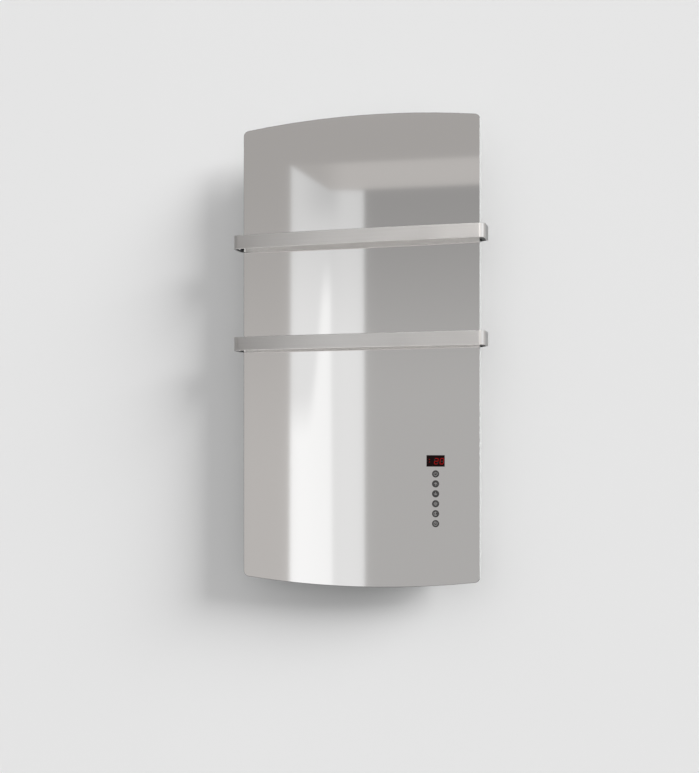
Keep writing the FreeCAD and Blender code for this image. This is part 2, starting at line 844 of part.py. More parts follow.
# Glass bond: a closed bead of sealant between the brim and the glass.
def make_glass_seal():
    body = new_body("glass_seal")
    sketch = new_sketch(body, "front", "casing_front")
    outer_half = "brim_half - seal_inset"
    outer_top = "brim_top - seal_inset"
    rounded(sketch, f"-({outer_half})", f"-({outer_top})", outer_half, outer_top, "brim_corner - seal_inset")
    inner_half = f"{outer_half} - seal_width"
    inner_top = f"{outer_top} - seal_width"
    rectangle(sketch, f"-({inner_half})", f"-({inner_top})", inner_half, inner_top)
    pad(body, sketch, "seal_thick")


# Heating layers behind the glass, each with a window for the control housing.
def make_heating_layer(label, back, thick, hole=None):
    body = new_body(label)
    sketch = new_sketch(body, "front", back)
    rounded(sketch, "-layer_half", "-layer_top", "layer_half", "layer_top", "inner_corner")
    rectangle(
        sketch,
        "housing_left - layer_window_gap",
        "housing_bottom - layer_window_gap",
        "housing_right + layer_window_gap",
        "housing_top + layer_window_gap",
    )
    if hole:
        circle(sketch, "0", "cutout_level", hole)
    pad(body, sketch, thick)


def make_heating_layers():
    make_heating_layer("heating_film", "film_back", "film_thick")
    make_heating_layer("heat_spreader", "spreader_back", "spreader_thick")
    make_heating_layer("insulation_mat", "mat_back", "mat_thick", "cutout_radius + layer_window_gap")
    body = new_body("thermal_cutout")
    cup = new_sketch(body, "front", "spreader_back")
    circle(cup, "0", "cutout_level", "cutout_radius")
    pad(body, cup, "cutout_depth", backwards=True)
    flange = new_sketch(body, "front", "spreader_back")
    circle(flange, "0", "cutout_level", "cutout_radius + cutout_flange")
    pad(body, flange, "cutout_flange", backwards=True)


# Touch control: a tray against the back of the glass with the display board inside.
def make_touch_control():
    tray = new_body("control_housing")
    block = new_sketch(tray, "front", "housing_back")
    rounded(block, "housing_left", "housing_bottom", "housing_right", "housing_top", "2 * housing_wall")
    pad(tray, block, "housing_depth")
    room = new_sketch(tray, "front", "glass_back")
    draw_housing_room(room, "housing_wall")
    pocket(tray, room, "touch_gap + board_thick")
    well = new_sketch(tray, "front", "board_back")
    draw_housing_room(well, "2 * housing_wall")
    pocket(tray, well, "housing_depth - touch_gap - board_thick - housing_wall")
    board = new_body("display_board")
    sketch = new_sketch(board, "front", "board_back")
    draw_housing_room(sketch, "(housing_wall + board_gap)")
    pad(board, sketch, "board_thick")
    module = new_body("led_display")
    sketch = new_sketch(module, "front", "board_front")
    draw_display_window(sketch, "housing_wall")
    pad(module, sketch, "display_module_depth")
    foam = new_body("touch_foam_pads")
    sketch = new_sketch(foam, "front", "board_front")
    for level in key_levels():
        circle(sketch, "key_column", level, "foam_radius")
    pad(foam, sketch, "touch_gap")


def draw_housing_room(sketch, wall):
    left = f"housing_left + {wall}"
    right = f"housing_right - {wall}"
    rectangle(sketch, left, f"housing_bottom + {wall}", right, f"housing_top - {wall}")


# Power board on four posts, with its relay, transformer, capacitor and fuse.
def make_power_board():
    board = new_body("power_board")
    sketch = new_sketch(board, "front", "power_back")
    rectangle(sketch, "power_left", "power_low", "power_right", "power_high")
    pad(board, sketch, "board_thick")
    posts = new_body("board_posts")
    sketch = new_sketch(posts, "front", "cover_front")
    for x in ("power_left + power_post_inset", "power_right - power_post_inset"):
        for level in ("power_low + power_post_inset", "power_high - power_post_inset"):
            circle(sketch, x, level, "power_post_radius")
    pad(posts, sketch, "power_post_height")
    relay = new_body("relay")
    sketch = new_sketch(relay, "front", "power_front")
    rectangle(sketch, "parts_left", "parts_low", "parts_left + relay_width", "parts_low + relay_height")
    case = pad(relay, sketch, "relay_depth")
    soften(relay, case, "Chamfer", "Size", "board_thick / 2", lambda one: runs_along(one, "y"))
    capacitor = new_body("capacitor")
    sketch = new_sketch(capacitor, "front", "power_front")
    circle(sketch, "capacitor_x", "parts_low + capacitor_radius", "capacitor_radius")
    can = pad(capacitor, sketch, "capacitor_depth")
    top = -number("power_front + capacitor_depth")
    soften(capacitor, can, "Chamfer", "Size", "board_thick / 2", lambda one: lies_at(one, "y", top))
    make_transformer()
    make_fuse()


def make_transformer():
    """A block with two open windows, where the winding passes through the core."""
    body = new_body("transformer")
    core = new_sketch(body, "front", "power_front")
    rectangle(core, "core_left", "parts_low", "core_left + core_width", "parts_low + core_height")
    pad(body, core, "core_depth")
    windows = new_sketch(body, "front", "power_front + core_depth")
    low = "parts_low + core_window"
    high = "parts_low + core_height - core_window"
    for left in ("core_left + core_window / 2", "core_left + core_width - 3 / 2 * core_window"):
        rectangle(windows, left, low, f"{left} + core_window", high)
    pocket(body, windows, "core_depth / 2")


def make_fuse():
    """A glass barrel held by two end clips."""
    body = new_body("fuse")
    barrel = new_sketch(body, "side", "parts_left")
    circle(barrel, "-fuse_out", "fuse_level", "fuse_radius")
    pad(body, barrel, "fuse_length")
    low = "fuse_level - fuse_radius"
    high = "fuse_level + fuse_radius"
    for start in ("parts_left", "parts_left + fuse_length - fuse_clip"):
        clip = new_sketch(body, "side", start)
        rectangle(clip, "-fuse_out", low, "-power_front", high)
        pad(body, clip, "fuse_clip")


# Supply terminals, earth stud, cable gland and room sensor.
def make_terminals():
    block = new_body("terminal_block")
    sketch = new_sketch(block, "front", "cover_front")
    left = "(terminal_x - terminal_width / 2)"
    low = "(terminal_level - terminal_height / 2)"
    high = "(terminal_level + terminal_height / 2)"
    rectangle(sketch, left, low, "terminal_x + terminal_width / 2", high)
    pad(block, sketch, "terminal_depth")
    screws = new_sketch(block, "front", "cover_front + terminal_depth")
    wires = new_sketch(block, "plan", high)
    for pole in range(int(number("terminal_poles"))):
        x = f"terminal_x + ({pole} - (terminal_poles - 1) / 2) * terminal_pitch"
        circle(screws, x, "terminal_level", "terminal_hole")
        circle(wires, x, "-cover_front - terminal_depth / 3", "terminal_hole")
    pocket(block, screws, "terminal_depth / 2")
    pocket(block, wires, "terminal_height")
    stud = new_body("earth_stud")
    sketch = new_sketch(stud, "front", "cover_front")
    circle(sketch, "earth_x", "terminal_level", "earth_radius")
    pad(stud, sketch, "earth_length")
    nut = new_sketch(stud, "front", "cover_front")
    hexagon(nut, "earth_x", "terminal_level", "earth_nut_radius")
    pad(stud, nut, "earth_nut_thick")


def make_gland_and_probe():
    gland = new_body("gland_body")
    flange = new_sketch(gland, "plan", "-casing_top")
    hexagon(flange, "gland_x", "-wall_middle", "gland_hex")
    pad(gland, flange, "gland_flange", backwards=True)
    dome = new_sketch(gland, "plan", "-casing_top - gland_flange")
    circle(dome, "gland_x", "-wall_middle", "gland_dome")
    nose = pad(gland, dome, "gland_dome_height", backwards=True)
    tip = number("-casing_top - gland_flange - gland_dome_height")
    slope = "(gland_dome - gland_bore) / 2"
    soften(gland, nose, "Chamfer", "Size", slope, lambda one: lies_at(one, "z", tip))
    thread = new_sketch(gland, "plan", "-casing_top")
    circle(thread, "gland_x", "-wall_middle", "gland_thread")
    pad(gland, thread, "gland_reach")
    bore = new_sketch(gland, "plan", "-casing_top + gland_reach")
    circle(bore, "gland_x", "-wall_middle", "gland_bore")
    pocket(gland, bore, "gland_reach + gland_flange + gland_dome_height")
    nut = new_body("gland_nut")
    sketch = new_sketch(nut, "plan", "-inner_top")
    hexagon(sketch, "gland_x", "-wall_middle", "gland_hex")
    circle(sketch, "gland_x", "-wall_middle", "gland_thread + screw_clearance")
    pad(nut, sketch, "gland_nut_thick")
    grommet = new_body("probe_grommet")
    lip = new_sketch(grommet, "plan", "-casing_top")
    circle(lip, "probe_x", "-wall_middle", "grommet_radius")
    circle(lip, "probe_x", "-wall_middle", "probe_radius")
    pad(grommet, lip, "grommet_lip", backwards=True)
    neck = new_sketch(grommet, "plan", "-casing_top")
    circle(neck, "probe_x", "-wall_middle", "grommet_hole")
    circle(neck, "probe_x", "-wall_middle", "probe_radius")
    pad(grommet, neck, "sheet_thick")
    inner_lip = new_sketch(grommet, "plan", "-inner_top")
    circle(inner_lip, "probe_x", "-wall_middle", "grommet_radius")
    circle(inner_lip, "probe_x", "-wall_middle", "probe_radius")
    pad(grommet, inner_lip, "grommet_lip")
    probe = new_body("room_probe")
    sketch = new_sketch(probe, "plan", "-casing_top - probe_show")
    circle(sketch, "probe_x", "-wall_middle", "probe_radius - inlay_gap")
    bulb = pad(probe, sketch, "probe_length")
    end = number("-casing_top - probe_show")
    soften(probe, bulb, "Chamfer", "Size", "probe_radius / 2", lambda one: lies_at(one, "z", end))


# Mains switch: a snap-in body in the right-hand wall with a rocker on two trunnions.
def make_switch():
    body = new_body("switch_body")
    low = "switch_level - switch_length / 2"
    high = "switch_level + switch_length / 2"
    near = "-wall_middle - switch_width / 2"
    far = "-wall_middle + switch_width / 2"
    bezel = new_sketch(body, "side", "casing_half")
    rectangle(bezel, f"{near} - bezel_lip", f"{low} - bezel_lip", f"{far} + bezel_lip", f"{high} + bezel_lip")
    frame = pad(body, bezel, "bezel_thick")
    face = number("switch_mouth")
    soften(body, frame, "Fillet", "Radius", "bezel_lip / 2", lambda one: lies_at(one, "x", face))
    barrel = new_sketch(body, "side", "casing_half")
    rectangle(barrel, near, low, far, high)
    pad(body, barrel, "switch_depth", backwards=True)
    well = new_sketch(body, "side", "switch_mouth")
    rectangle(
        well,
        "-wall_middle - rocker_slot_width / 2",
        "switch_level - rocker_slot_length / 2",
        "-wall_middle + rocker_slot_width / 2",
        "switch_level + rocker_slot_length / 2",
    )
    pocket(body, well, "rocker_slot_depth")
    eye = new_sketch(body, "front", "wall_middle")
    circle(eye, "rocker_pivot", "switch_level", "trunnion_radius + trunnion_clearance")
    pocket(body, eye, "switch_width", both=True)
    make_rocker()


def make_rocker():
    """The rocker is drawn about its own pivot and placed tilted, in its on position."""
    body = new_body("switch_rocker")
    shape = new_sketch(body, "front", "-rocker_width / 2")
    half = "rocker_length / 2"
    outline(
        shape,
        ("-rocker_half_thick", f"-{half}"),
        ("rocker_half_thick + rocker_dish", f"-{half}"),
        ("rocker_half_thick", "0"),
        ("rocker_half_thick + rocker_dish", half),
        ("-rocker_half_thick", half),
    )
    pad(body, shape, "rocker_width")
    pins = new_sketch(body, "front", "-rocker_slot_width / 2 - trunnion_length")
    circle(pins, "0", "0", "trunnion_radius")
    pad(body, pins, "rocker_slot_width + 2 * trunnion_length")
    bind(body, "Placement.Base.x", "rocker_pivot")
    bind(body, "Placement.Base.y", "-wall_middle")
    bind(body, "Placement.Base.z", "switch_level")
    doc.recompute()
    tilt = FreeCAD.Rotation(FreeCAD.Vector(0, 1, 0), number("rocker_tilt"))
    body.Placement = FreeCAD.Placement(body.Placement.Base, tilt)


# Wall bracket: two folded rails with upturned hooks, tied by two cross bars and rivets.
def make_wall_rail(label, side):
    body = new_body(label)
    web = new_sketch(body, "front")
    inner = f"{side} * (rail_edge - rail_width)"
    outer = f"{side} * rail_edge"
    fold = f"{side} * (rail_edge - rail_thick)"
    rectangle(web, inner, "-rail_length / 2", outer, "rail_length / 2")
    pad(body, web, "rail_thick")
    flange = new_sketch(body, "front")
    rectangle(flange, fold, "-rail_length / 2", outer, "rail_length / 2")
    pad(body, flange, "rail_stand")
    for row in (-1, 1):
        hook = new_sketch(body, "side", fold)
        seat = f"{row} * hook_level"
        tip = f"{seat} + hook_lip"
        outline(
            hook,
            ("-rail_thick", f"{seat} - hook_neck"),
            ("-rail_stand", f"{seat} - hook_neck"),
            ("-hook_lip_front + hook_lead", f"{seat} - hook_neck"),
            ("-hook_lip_front", f"{seat} - hook_neck + hook_lead"),
            ("-hook_lip_front", f"{tip} - hook_lead"),
            ("-hook_lip_front + hook_lead", tip),
            ("-hook_lip_back - hook_lead / 2", tip),
            ("-hook_lip_back", f"{tip} - hook_lead"),
            ("-hook_lip_back", seat),
            ("-rail_thick", seat),
        )
        pad(body, hook, "rail_thick", backwards=side < 0)
    holes = new_sketch(body, "front", "rail_thick")
    for row in (-1, 1):
        circle(holes, f"{side} * rail_x", f"{row} * bolt_span_z / 2", "bolt_radius")
        circle(holes, f"{side} * rail_x", f"{row} * cross_level", "rivet_hole")
    pocket(body, holes, "rail_thick")


def make_wall_bracket():
    make_wall_rail("wall_rail_left", -1)
    make_wall_rail("wall_rail_right", 1)
    half = "(rail_edge - rail_thick - cross_clearance)"
    for label, row in (("upper_cross_bar", 1), ("lower_cross_bar", -1)):
        body = new_body(label)
        sketch = new_sketch(body, "front", "rail_thick")
        middle = f"{row} * cross_level"
        low = f"{middle} - cross_height / 2"
        rectangle(sketch, f"-{half}", low, half, f"{middle} + cross_height / 2")
        for side in bar_sides.values():
            circle(sketch, f"{side} * rail_x", middle, "rivet_hole")
        pad(body, sketch, "rail_thick")
    rivets = new_body("rail_rivets")
    shanks = new_sketch(rivets, "front")
    heads = new_sketch(rivets, "front", "cross_front")
    for side in bar_sides.values():
        for row in (-1, 1):
            circle(shanks, f"{side} * rail_x", f"{row} * cross_level", "rivet_radius")
            circle(heads, f"{side} * rail_x", f"{row} * cross_level", "rivet_head_radius")
    pad(rivets, shanks, "cross_front")
    domes = pad(rivets, heads, "rivet_head_thick")
    crown = -number("cross_front + rivet_head_thick")
    soften(rivets, domes, "Chamfer", "Size", "rivet_head_thick * 2 / 3", lambda one: lies_at(one, "y", crown))


def make_wall_buffers():
    body = new_body("wall_buffers")
    tips = new_sketch(body, "front")
    stems = new_sketch(body, "front", "buffer_tip")
    for side in bar_sides.values():
        circle(tips, f"{side} * buffer_x", "buffer_level", "buffer_tip_radius")
        circle(stems, f"{side} * buffer_x", "buffer_level", "buffer_radius")
    pad(body, tips, "buffer_tip")
    pad(body, stems, "wall_gap - buffer_tip")


make_mirror_glass()
make_inlays()
make_bars()
make_bar_screws()
make_bracket_screws()
make_casing_shell()
make_rear_cover()
make_cover_screws()
make_glass_seal()
make_heating_layers()
make_touch_control()
make_power_board()
make_terminals()
make_gland_and_probe()
make_switch()
make_wall_bracket()
make_wall_buffers()
doc.recompute()

for item in doc.Objects:
    if "Invalid" in item.State or "Error" in item.State:
        raise RuntimeError(item.Label + " failed to rebuild")
for body in sub_parts:
    if body.Shape.isNull() or not body.Shape.isValid():
        raise RuntimeError(body.Label + " has no valid solid")

os.makedirs("parts", exist_ok=True)
for body in sub_parts:
    body.Shape.exportStep(f"parts/{body.Label}.step")
    print(f"{body.Label}: {len(body.Shape.Solids)} solids, {body.Shape.Volume / 1000:.2f} cm3")
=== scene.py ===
import bpy
import json
import math
import numpy as np
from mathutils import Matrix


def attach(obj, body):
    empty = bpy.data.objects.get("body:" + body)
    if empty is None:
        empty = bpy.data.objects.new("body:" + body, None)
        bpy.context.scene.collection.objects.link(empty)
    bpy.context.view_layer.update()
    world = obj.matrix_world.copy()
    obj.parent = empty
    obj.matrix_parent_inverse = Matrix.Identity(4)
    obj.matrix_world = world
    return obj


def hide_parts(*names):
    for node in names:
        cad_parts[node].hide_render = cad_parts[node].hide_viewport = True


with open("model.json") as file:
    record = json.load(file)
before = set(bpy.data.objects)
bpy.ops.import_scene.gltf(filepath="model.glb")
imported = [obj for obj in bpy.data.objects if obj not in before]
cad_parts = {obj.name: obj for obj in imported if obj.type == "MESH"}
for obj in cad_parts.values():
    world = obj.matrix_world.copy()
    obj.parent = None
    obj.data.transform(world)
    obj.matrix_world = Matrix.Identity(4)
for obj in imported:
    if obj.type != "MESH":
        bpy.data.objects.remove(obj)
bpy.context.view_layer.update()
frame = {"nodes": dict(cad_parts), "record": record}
nodes = frame["nodes"]
scene = bpy.context.scene
scene.view_settings.view_transform = "Standard"
print("frame loaded:", len(nodes), "nodes")


# Faces of a grid of rows by cols points; a closed direction joins its last line to its first.
def gridFaces(rows, cols, closeRows=False, closeCols=False):
    index = np.arange(rows * cols).reshape(rows, cols)
    if closeRows:
        index = np.vstack([index, index[:1]])
    if closeCols:
        index = np.hstack([index, index[:, :1]])
    quads = np.stack([index[:-1, :-1], index[1:, :-1], index[1:, 1:], index[:-1, 1:]], axis=-1)
    return quads.reshape(-1, 4)


# The two open ends of a tube of rings, as one many-sided face each.
def endCaps(rows, cols):
    ring = np.arange(cols)
    return np.stack([ring, (rows - 1) * cols + ring[::-1]])


# Smooth step from 0 at the first edge to 1 at the second: three t squared less two t cubed.
def smooth(edges, value):
    t = np.clip((value - edges[0]) / (edges[1] - edges[0]), 0, 1)
    return t * t * (3 - 2 * t)


# Straight step from one value to another by a share.
def between(first, second, share):
    return first + (second - first) * share


# A closed shell has a positive volume when its faces point outwards, so the sign says whether to turn them.
# Faces are kept as arrays of point numbers; those in one array have the same number of corners.
def turnedOut(points, faces):
    volume = 0.0
    for group in faces:
        ring = points[group]
        fans = np.cross(ring[:, 1:-1] - ring[:, :1], ring[:, 2:] - ring[:, :1])
        volume += np.einsum("ij,ikj->", ring[:, 0], fans)
    return faces if volume > 0 else [group[:, ::-1] for group in faces]


# Several closed shapes as one: each is turned outwards, and its point numbers follow on from the last.
def merged(shapes):
    points, faces, start = [], [], 0
    for shapePoints, shapeFaces in shapes:
        points.append(shapePoints)
        faces += [group + start for group in turnedOut(shapePoints, shapeFaces)]
        start += len(shapePoints)
    return np.vstack(points), faces


# Points and faces as a smooth mesh, with its edges sharp past an angle.
def putMesh(name, points, faces, sharpAngle=35):
    mesh = bpy.data.meshes.new(name)
    mesh.from_pydata(points.tolist(), [], [face for group in faces for face in group.tolist()])
    mesh.polygons.foreach_set("use_smooth", np.ones(len(mesh.polygons), bool))
    mesh.set_sharp_from_angle(angle=math.radians(sharpAngle))
    mesh.update()
    piece = bpy.data.objects.new(name, mesh)
    scene.collection.objects.link(piece)
    return piece


# A new piece rides on a body, has a material slot and may take the place of CAD nodes.
def addPiece(name, points, faces, finish, slotName, body="heater", replaced=(), sharpAngle=35):
    piece = putMesh(name, points, turnedOut(points, faces), sharpAngle)
    piece.data.materials.append(finish)
    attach(piece, body)
    if replaced:
        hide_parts(*replaced)
    return piece


# Finishes: most of these helpers add a node to the tree and give back its socket.
noiseRange = (0.3, 0.7)  # where most values of a noise lie


def grey(level):
    return (level,) * 3


def toned(colour, share):
    return tuple(min(1, share * c) for c in colour)


def newFinish(name, colour, roughness, metallic=0.0):
    finish = bpy.data.materials.new(name)
    finish.use_nodes = True
    shader = finish.node_tree.nodes["Principled BSDF"]
    shader.inputs["Base Color"].default_value = (*colour, 1)
    shader.inputs["Roughness"].default_value = roughness
    shader.inputs["Metallic"].default_value = metallic
    return finish, finish.node_tree, shader


def feed(node, name, socket):
    node.id_data.links.new(socket, node.inputs[name])


def objectPlace(tree, stretch=(1, 1, 1)):
    place = tree.nodes.new("ShaderNodeTexCoord")
    mapping = tree.nodes.new("ShaderNodeMapping")
    mapping.inputs["Scale"].default_value = stretch
    tree.links.new(place.outputs["Object"], mapping.inputs["Vector"])
    return mapping.outputs["Vector"]


def axes(tree, vector):
    parts = tree.nodes.new("ShaderNodeSeparateXYZ")
    tree.links.new(vector, parts.inputs["Vector"])
    return parts.outputs


def cloud(tree, place, scale, detail=4.0, roughness=0.55):
    noise = tree.nodes.new("ShaderNodeTexNoise")
    noise.inputs["Scale"].default_value = scale
    noise.inputs["Detail"].default_value = detail
    noise.inputs["Roughness"].default_value = roughness
    tree.links.new(place, noise.inputs["Vector"])
    return noise.outputs["Fac"]


# Cells with a random colour each, as three separate values.
def cells(tree, place, scale):
    pattern = tree.nodes.new("ShaderNodeTexVoronoi")
    pattern.inputs["Scale"].default_value = scale
    tree.links.new(place, pattern.inputs["Vector"])
    parts = tree.nodes.new("ShaderNodeSeparateColor")
    tree.links.new(pattern.outputs["Color"], parts.inputs["Color"])
    return parts.outputs


def ramp(tree, value, stops):
    steps = tree.nodes.new("ShaderNodeValToRGB")
    marks = steps.color_ramp.elements
    while len(marks) < len(stops):
        marks.new(0.5)
    for mark, (at, colour) in zip(marks, stops):
        mark.position = at
        mark.color = (*colour, 1)
    tree.links.new(value, steps.inputs["Fac"])
    return steps.outputs["Color"]


# A range of values carried over to another range.
def span(tree, value, source, target):
    mapped = tree.nodes.new("ShaderNodeMapRange")
    for name, number in zip(("From Min", "From Max", "To Min", "To Max"), (*source, *target)):
        mapped.inputs[name].default_value = number
    tree.links.new(value, mapped.inputs["Value"])
    return mapped.outputs["Result"]


def reckon(tree, operation, *values):
    step = tree.nodes.new("ShaderNodeMath")
    step.operation = operation
    for socket, value in zip(step.inputs, values):
        tree.links.new(value, socket)
    return step.outputs[0]


def blend(tree, share, colour, other):
    pick = tree.nodes.new("ShaderNodeMix")
    pick.data_type = "RGBA"
    tree.links.new(share, pick.inputs["Factor"])
    tree.links.new(colour, pick.inputs["A"])
    pick.inputs["B"].default_value = (*other, 1)
    return pick.outputs["Result"]


def bump(tree, shader, height, strength, distance):
    relief = tree.nodes.new("ShaderNodeBump")
    relief.inputs["Strength"].default_value = strength
    relief.inputs["Distance"].default_value = distance
    tree.links.new(height, relief.inputs["Height"])
    tree.links.new(relief.outputs["Normal"], shader.inputs["Normal"])


# Mirror: silvered front face, a ground bevel painted dark as painted shade along the edge, greenish edge,
# protective paint on the back.
# Depths are shares of the way from front to back. On the right-hand side the bevel has a pale arris, a
# painted highlight where the light falls from the right.
mirror = {"front": -0.077, "back": -0.071, "bevelDepth": (0.012, 0.125), "edgeDepth": (0.14, 0.97),
          "paintDepth": 0.99, "silver": (0.935, 0.93, 0.925), "shadedBevel": (0.10, 0.098, 0.095),
          "edge": (0.46, 0.50, 0.485), "paint": (0.13, 0.15, 0.145),
          "rough": (0.045, 0.35, 0.35, 0.14, 0.16, 0.55),
          "metal": ((0.0, 1.0), (0.012, 0.25), (0.97, 0.1), (0.99, 0.0)),
          "paintedHighlight": (0.80, 0.81, 0.81), "paintedHighlightX": (0.2594, 0.2597), "paintedHighlightMetal": 0.1, "paintedHighlightRough": 0.3}


def mirrorFinish():
    finish, tree, shader = newFinish("mirrorSilver", mirror["silver"], roughness=0.045, metallic=1.0)
    place = axes(tree, objectPlace(tree))
    depth = span(tree, place["Y"], (mirror["front"], mirror["back"]), (0, 1))
    depths = (0.0, *mirror["bevelDepth"], *mirror["edgeDepth"], mirror["paintDepth"])
    layers = [mirror[layer] for layer in ("silver", "shadedBevel", "shadedBevel", "edge", "edge", "paint")]
    colour = ramp(tree, depth, list(zip(depths, layers)))
    metal = ramp(tree, depth, [(at, grey(level)) for at, level in mirror["metal"]])
    rough = ramp(tree, depth, [(at, grey(level)) for at, level in zip(depths, mirror["rough"])])
    ahead = span(tree, depth, (mirror["bevelDepth"][1], mirror["edgeDepth"][0]), (1, 0))
    # Painted highlight: the front band of the bevel is pale on the right-hand side only.
    paintedHighlight = reckon(tree, "MULTIPLY", span(tree, place["X"], mirror["paintedHighlightX"], (0, 1)), ahead)
    feed(shader, "Base Color", blend(tree, paintedHighlight, colour, mirror["paintedHighlight"]))
    feed(shader, "Metallic", blend(tree, paintedHighlight, metal, grey(mirror["paintedHighlightMetal"])))
    feed(shader, "Roughness", blend(tree, paintedHighlight, rough, grey(mirror["paintedHighlightRough"])))
    return finish


# Bar metal: brushed lines run along the strip, so the pattern is stretched along X and Y and tight in Z.
barMetal = {"colour": (0.825, 0.822, 0.815), "brushed": (5, 5, 2600), "grazingShadeTint": (0.42, 0.42, 0.42, 1),
            "backPaintedLightColour": (0.90, 0.895, 0.885), "milled": (8, 8, 900)}


def barFinish():
    finish, tree, shader = newFinish("satinAluminium", barMetal["colour"], roughness=0.3, metallic=1.0)
    lines = cloud(tree, objectPlace(tree, barMetal["brushed"]), scale=1.0, detail=3.0, roughness=0.6)
    haze = cloud(tree, objectPlace(tree), scale=9.0, detail=3.0)
    # The dim edge tint darkens grazing reflections: painted shade on the sides of the legs.
    shader.inputs["Specular Tint"].default_value = barMetal["grazingShadeTint"]
    feed(shader, "Roughness", span(tree, haze, noiseRange, (0.27, 0.34)))
    tones = (toned(barMetal["colour"], 0.97), toned(barMetal["colour"], 1.03))
    feed(shader, "Base Color", ramp(tree, lines, list(zip(noiseRange, tones))))
    bump(tree, shader, lines, strength=0.05, distance=0.0002)
    return finish


# The face turned to the glass is left matt from the mill; its pale tone is partly painted light, for the
# light the glass throws on it.
def barBackFinish():
    finish, tree, shader = newFinish("matPaintedLightAluminium", barMetal["backPaintedLightColour"], roughness=0.5, metallic=0.1)
    mill = cloud(tree, objectPlace(tree, barMetal["milled"]), scale=1.0, detail=3.0, roughness=0.6)
    tones = (toned(barMetal["backPaintedLightColour"], 0.94), barMetal["backPaintedLightColour"])
    feed(shader, "Base Color", ramp(tree, mill, list(zip(noiseRange, tones))))
    feed(shader, "Roughness", span(tree, mill, noiseRange, (0.45, 0.6)))
    return finish


# Moulded plastic: a fine spark-eroded grain and a slightly uneven sheen.
def plasticFinish(name, colour, roughness, grain=1800.0, depth=0.0002):
    finish, tree, shader = newFinish(name, colour, roughness)
    place = objectPlace(tree)
    bump(tree, shader, cloud(tree, place, scale=grain, detail=2.0), strength=0.25, distance=depth)
    sheen = cloud(tree, place, scale=25.0)
    feed(shader, "Roughness", span(tree, sheen, noiseRange, (roughness * 0.85, roughness * 1.2)))
    pale = tuple(c * 1.35 + 0.004 for c in colour)
    blotches = cloud(tree, place, scale=60.0)
    feed(shader, "Base Color", ramp(tree, blotches, [(0.35, colour), (0.75, pale)]))
    return finish


# Bar brackets: black moulding; the inner end of each nose is painted pale, a painted highlight for light the
# glass throws on it.
brackets = {"black": (0.012, 0.012, 0.013), "paintedLitEnd": (0.66, 0.655, 0.645),
            "paintedLitEndX": (0.26365, 0.26375), "paintedLitEndY": (-0.0887, -0.0885)}


def bracketFinish():
    finish = plasticFinish("bracketMoulding", brackets["black"], roughness=0.5)
    tree = finish.node_tree
    shader = tree.nodes["Principled BSDF"]
    place = axes(tree, objectPlace(tree))
    inside = span(tree, reckon(tree, "ABSOLUTE", place["X"]), brackets["paintedLitEndX"], (1, 0))
    ahead = span(tree, place["Y"], brackets["paintedLitEndY"], (1, 0))
    black = shader.inputs["Base Color"].links[0].from_socket
    # Painted highlight: a pale patch at the inner end of each nose, near the glass.
    paintedLitEnd = reckon(tree, "MULTIPLY", inside, ahead)
    feed(shader, "Base Color", blend(tree, paintedLitEnd, black, brackets["paintedLitEnd"]))
    return finish


# Powder coat: shallow orange peel about a millimetre across, with a little dust held in it.
def coatFinish(name, colour):
    finish, tree, shader = newFinish(name, colour, roughness=0.42)
    place = objectPlace(tree)
    peel = cloud(tree, place, scale=700.0, detail=2.0, roughness=0.45)
    bump(tree, shader, peel, strength=0.22, distance=0.0004)
    dust = cloud(tree, place, scale=6.0, detail=6.0)
    feed(shader, "Base Color", ramp(tree, dust, [(0.32, toned(colour, 0.93)), (0.6, colour)]))
    feed(shader, "Roughness", span(tree, cloud(tree, place, scale=14.0), noiseRange, (0.36, 0.5)))
    return finish


# Zinc plate and foil: crystals, each with its own tone and sheen.
def zincFinish(name, colour, crystal):
    finish, tree, shader = newFinish(name, colour, roughness=0.38, metallic=0.5)
    place = objectPlace(tree)
    flakes = cells(tree, place, crystal)
    feed(shader, "Base Color", ramp(tree, flakes["Red"], [(0.0, toned(colour, 0.78)), (1.0, colour)]))
    feed(shader, "Roughness", span(tree, flakes["Green"], (0, 1), (0.28, 0.48)))
    bump(tree, shader, cloud(tree, place, scale=900.0, detail=2.0), strength=0.08, distance=0.0002)
    return finish


# Fibre or foam: fine strands, with painted shade: the colour is darker where the bump is low.
def fibreFinish(name, colour):
    finish, tree, shader = newFinish(name, colour, roughness=0.95)
    strands = cloud(tree, objectPlace(tree, (1, 3, 1)), scale=420.0, detail=8.0, roughness=0.7)
    feed(shader, "Base Color", ramp(tree, strands, [(0.35, toned(colour, 0.75)), (0.65, colour)]))
    bump(tree, shader, strands, strength=0.7, distance=0.0012)
    return finish


# Stacked steel sheets: thin level layers with dark seams.
def laminateFinish(name, colour):
    finish, tree, shader = newFinish(name, colour, roughness=0.5, metallic=0.7)
    layers = cloud(tree, objectPlace(tree, (20, 20, 1600)), scale=1.0, detail=1.0)
    feed(shader, "Base Color", ramp(tree, layers, [(0.42, toned(colour, 0.5)), (0.55, colour)]))
    bump(tree, shader, layers, strength=0.4, distance=0.0003)
    return finish


# Smoked window: near black with a faint smear in its gloss.
def smokedFinish():
    finish, tree, shader = newFinish("smokedWindow", (0.009, 0.003, 0.003), roughness=0.10)
    shader.inputs["Specular IOR Level"].default_value = 0.1
    smear = cloud(tree, objectPlace(tree), scale=160.0, detail=3.0)
    feed(shader, "Roughness", span(tree, smear, noiseRange, (0.07, 0.14)))
    return finish


# Lit segment: a dark, slightly hazy face that glows evenly.
def glowFinish(name, colour, strength):
    finish, tree, shader = newFinish(name, toned(colour, 0.05), roughness=0.4)
    haze = cloud(tree, objectPlace(tree), scale=900.0, detail=2.0)
    tones = (toned(colour, 0.04), toned(colour, 0.06))
    feed(shader, "Base Color", ramp(tree, haze, list(zip(noiseRange, tones))))
    feed(shader, "Roughness", span(tree, haze, noiseRange, (0.36, 0.44)))
    shader.inputs["Specular IOR Level"].default_value = 0.1
    shader.inputs["Emission Color"].default_value = (*colour, 1)
    shader.inputs["Emission Strength"].default_value = strength
    return finish


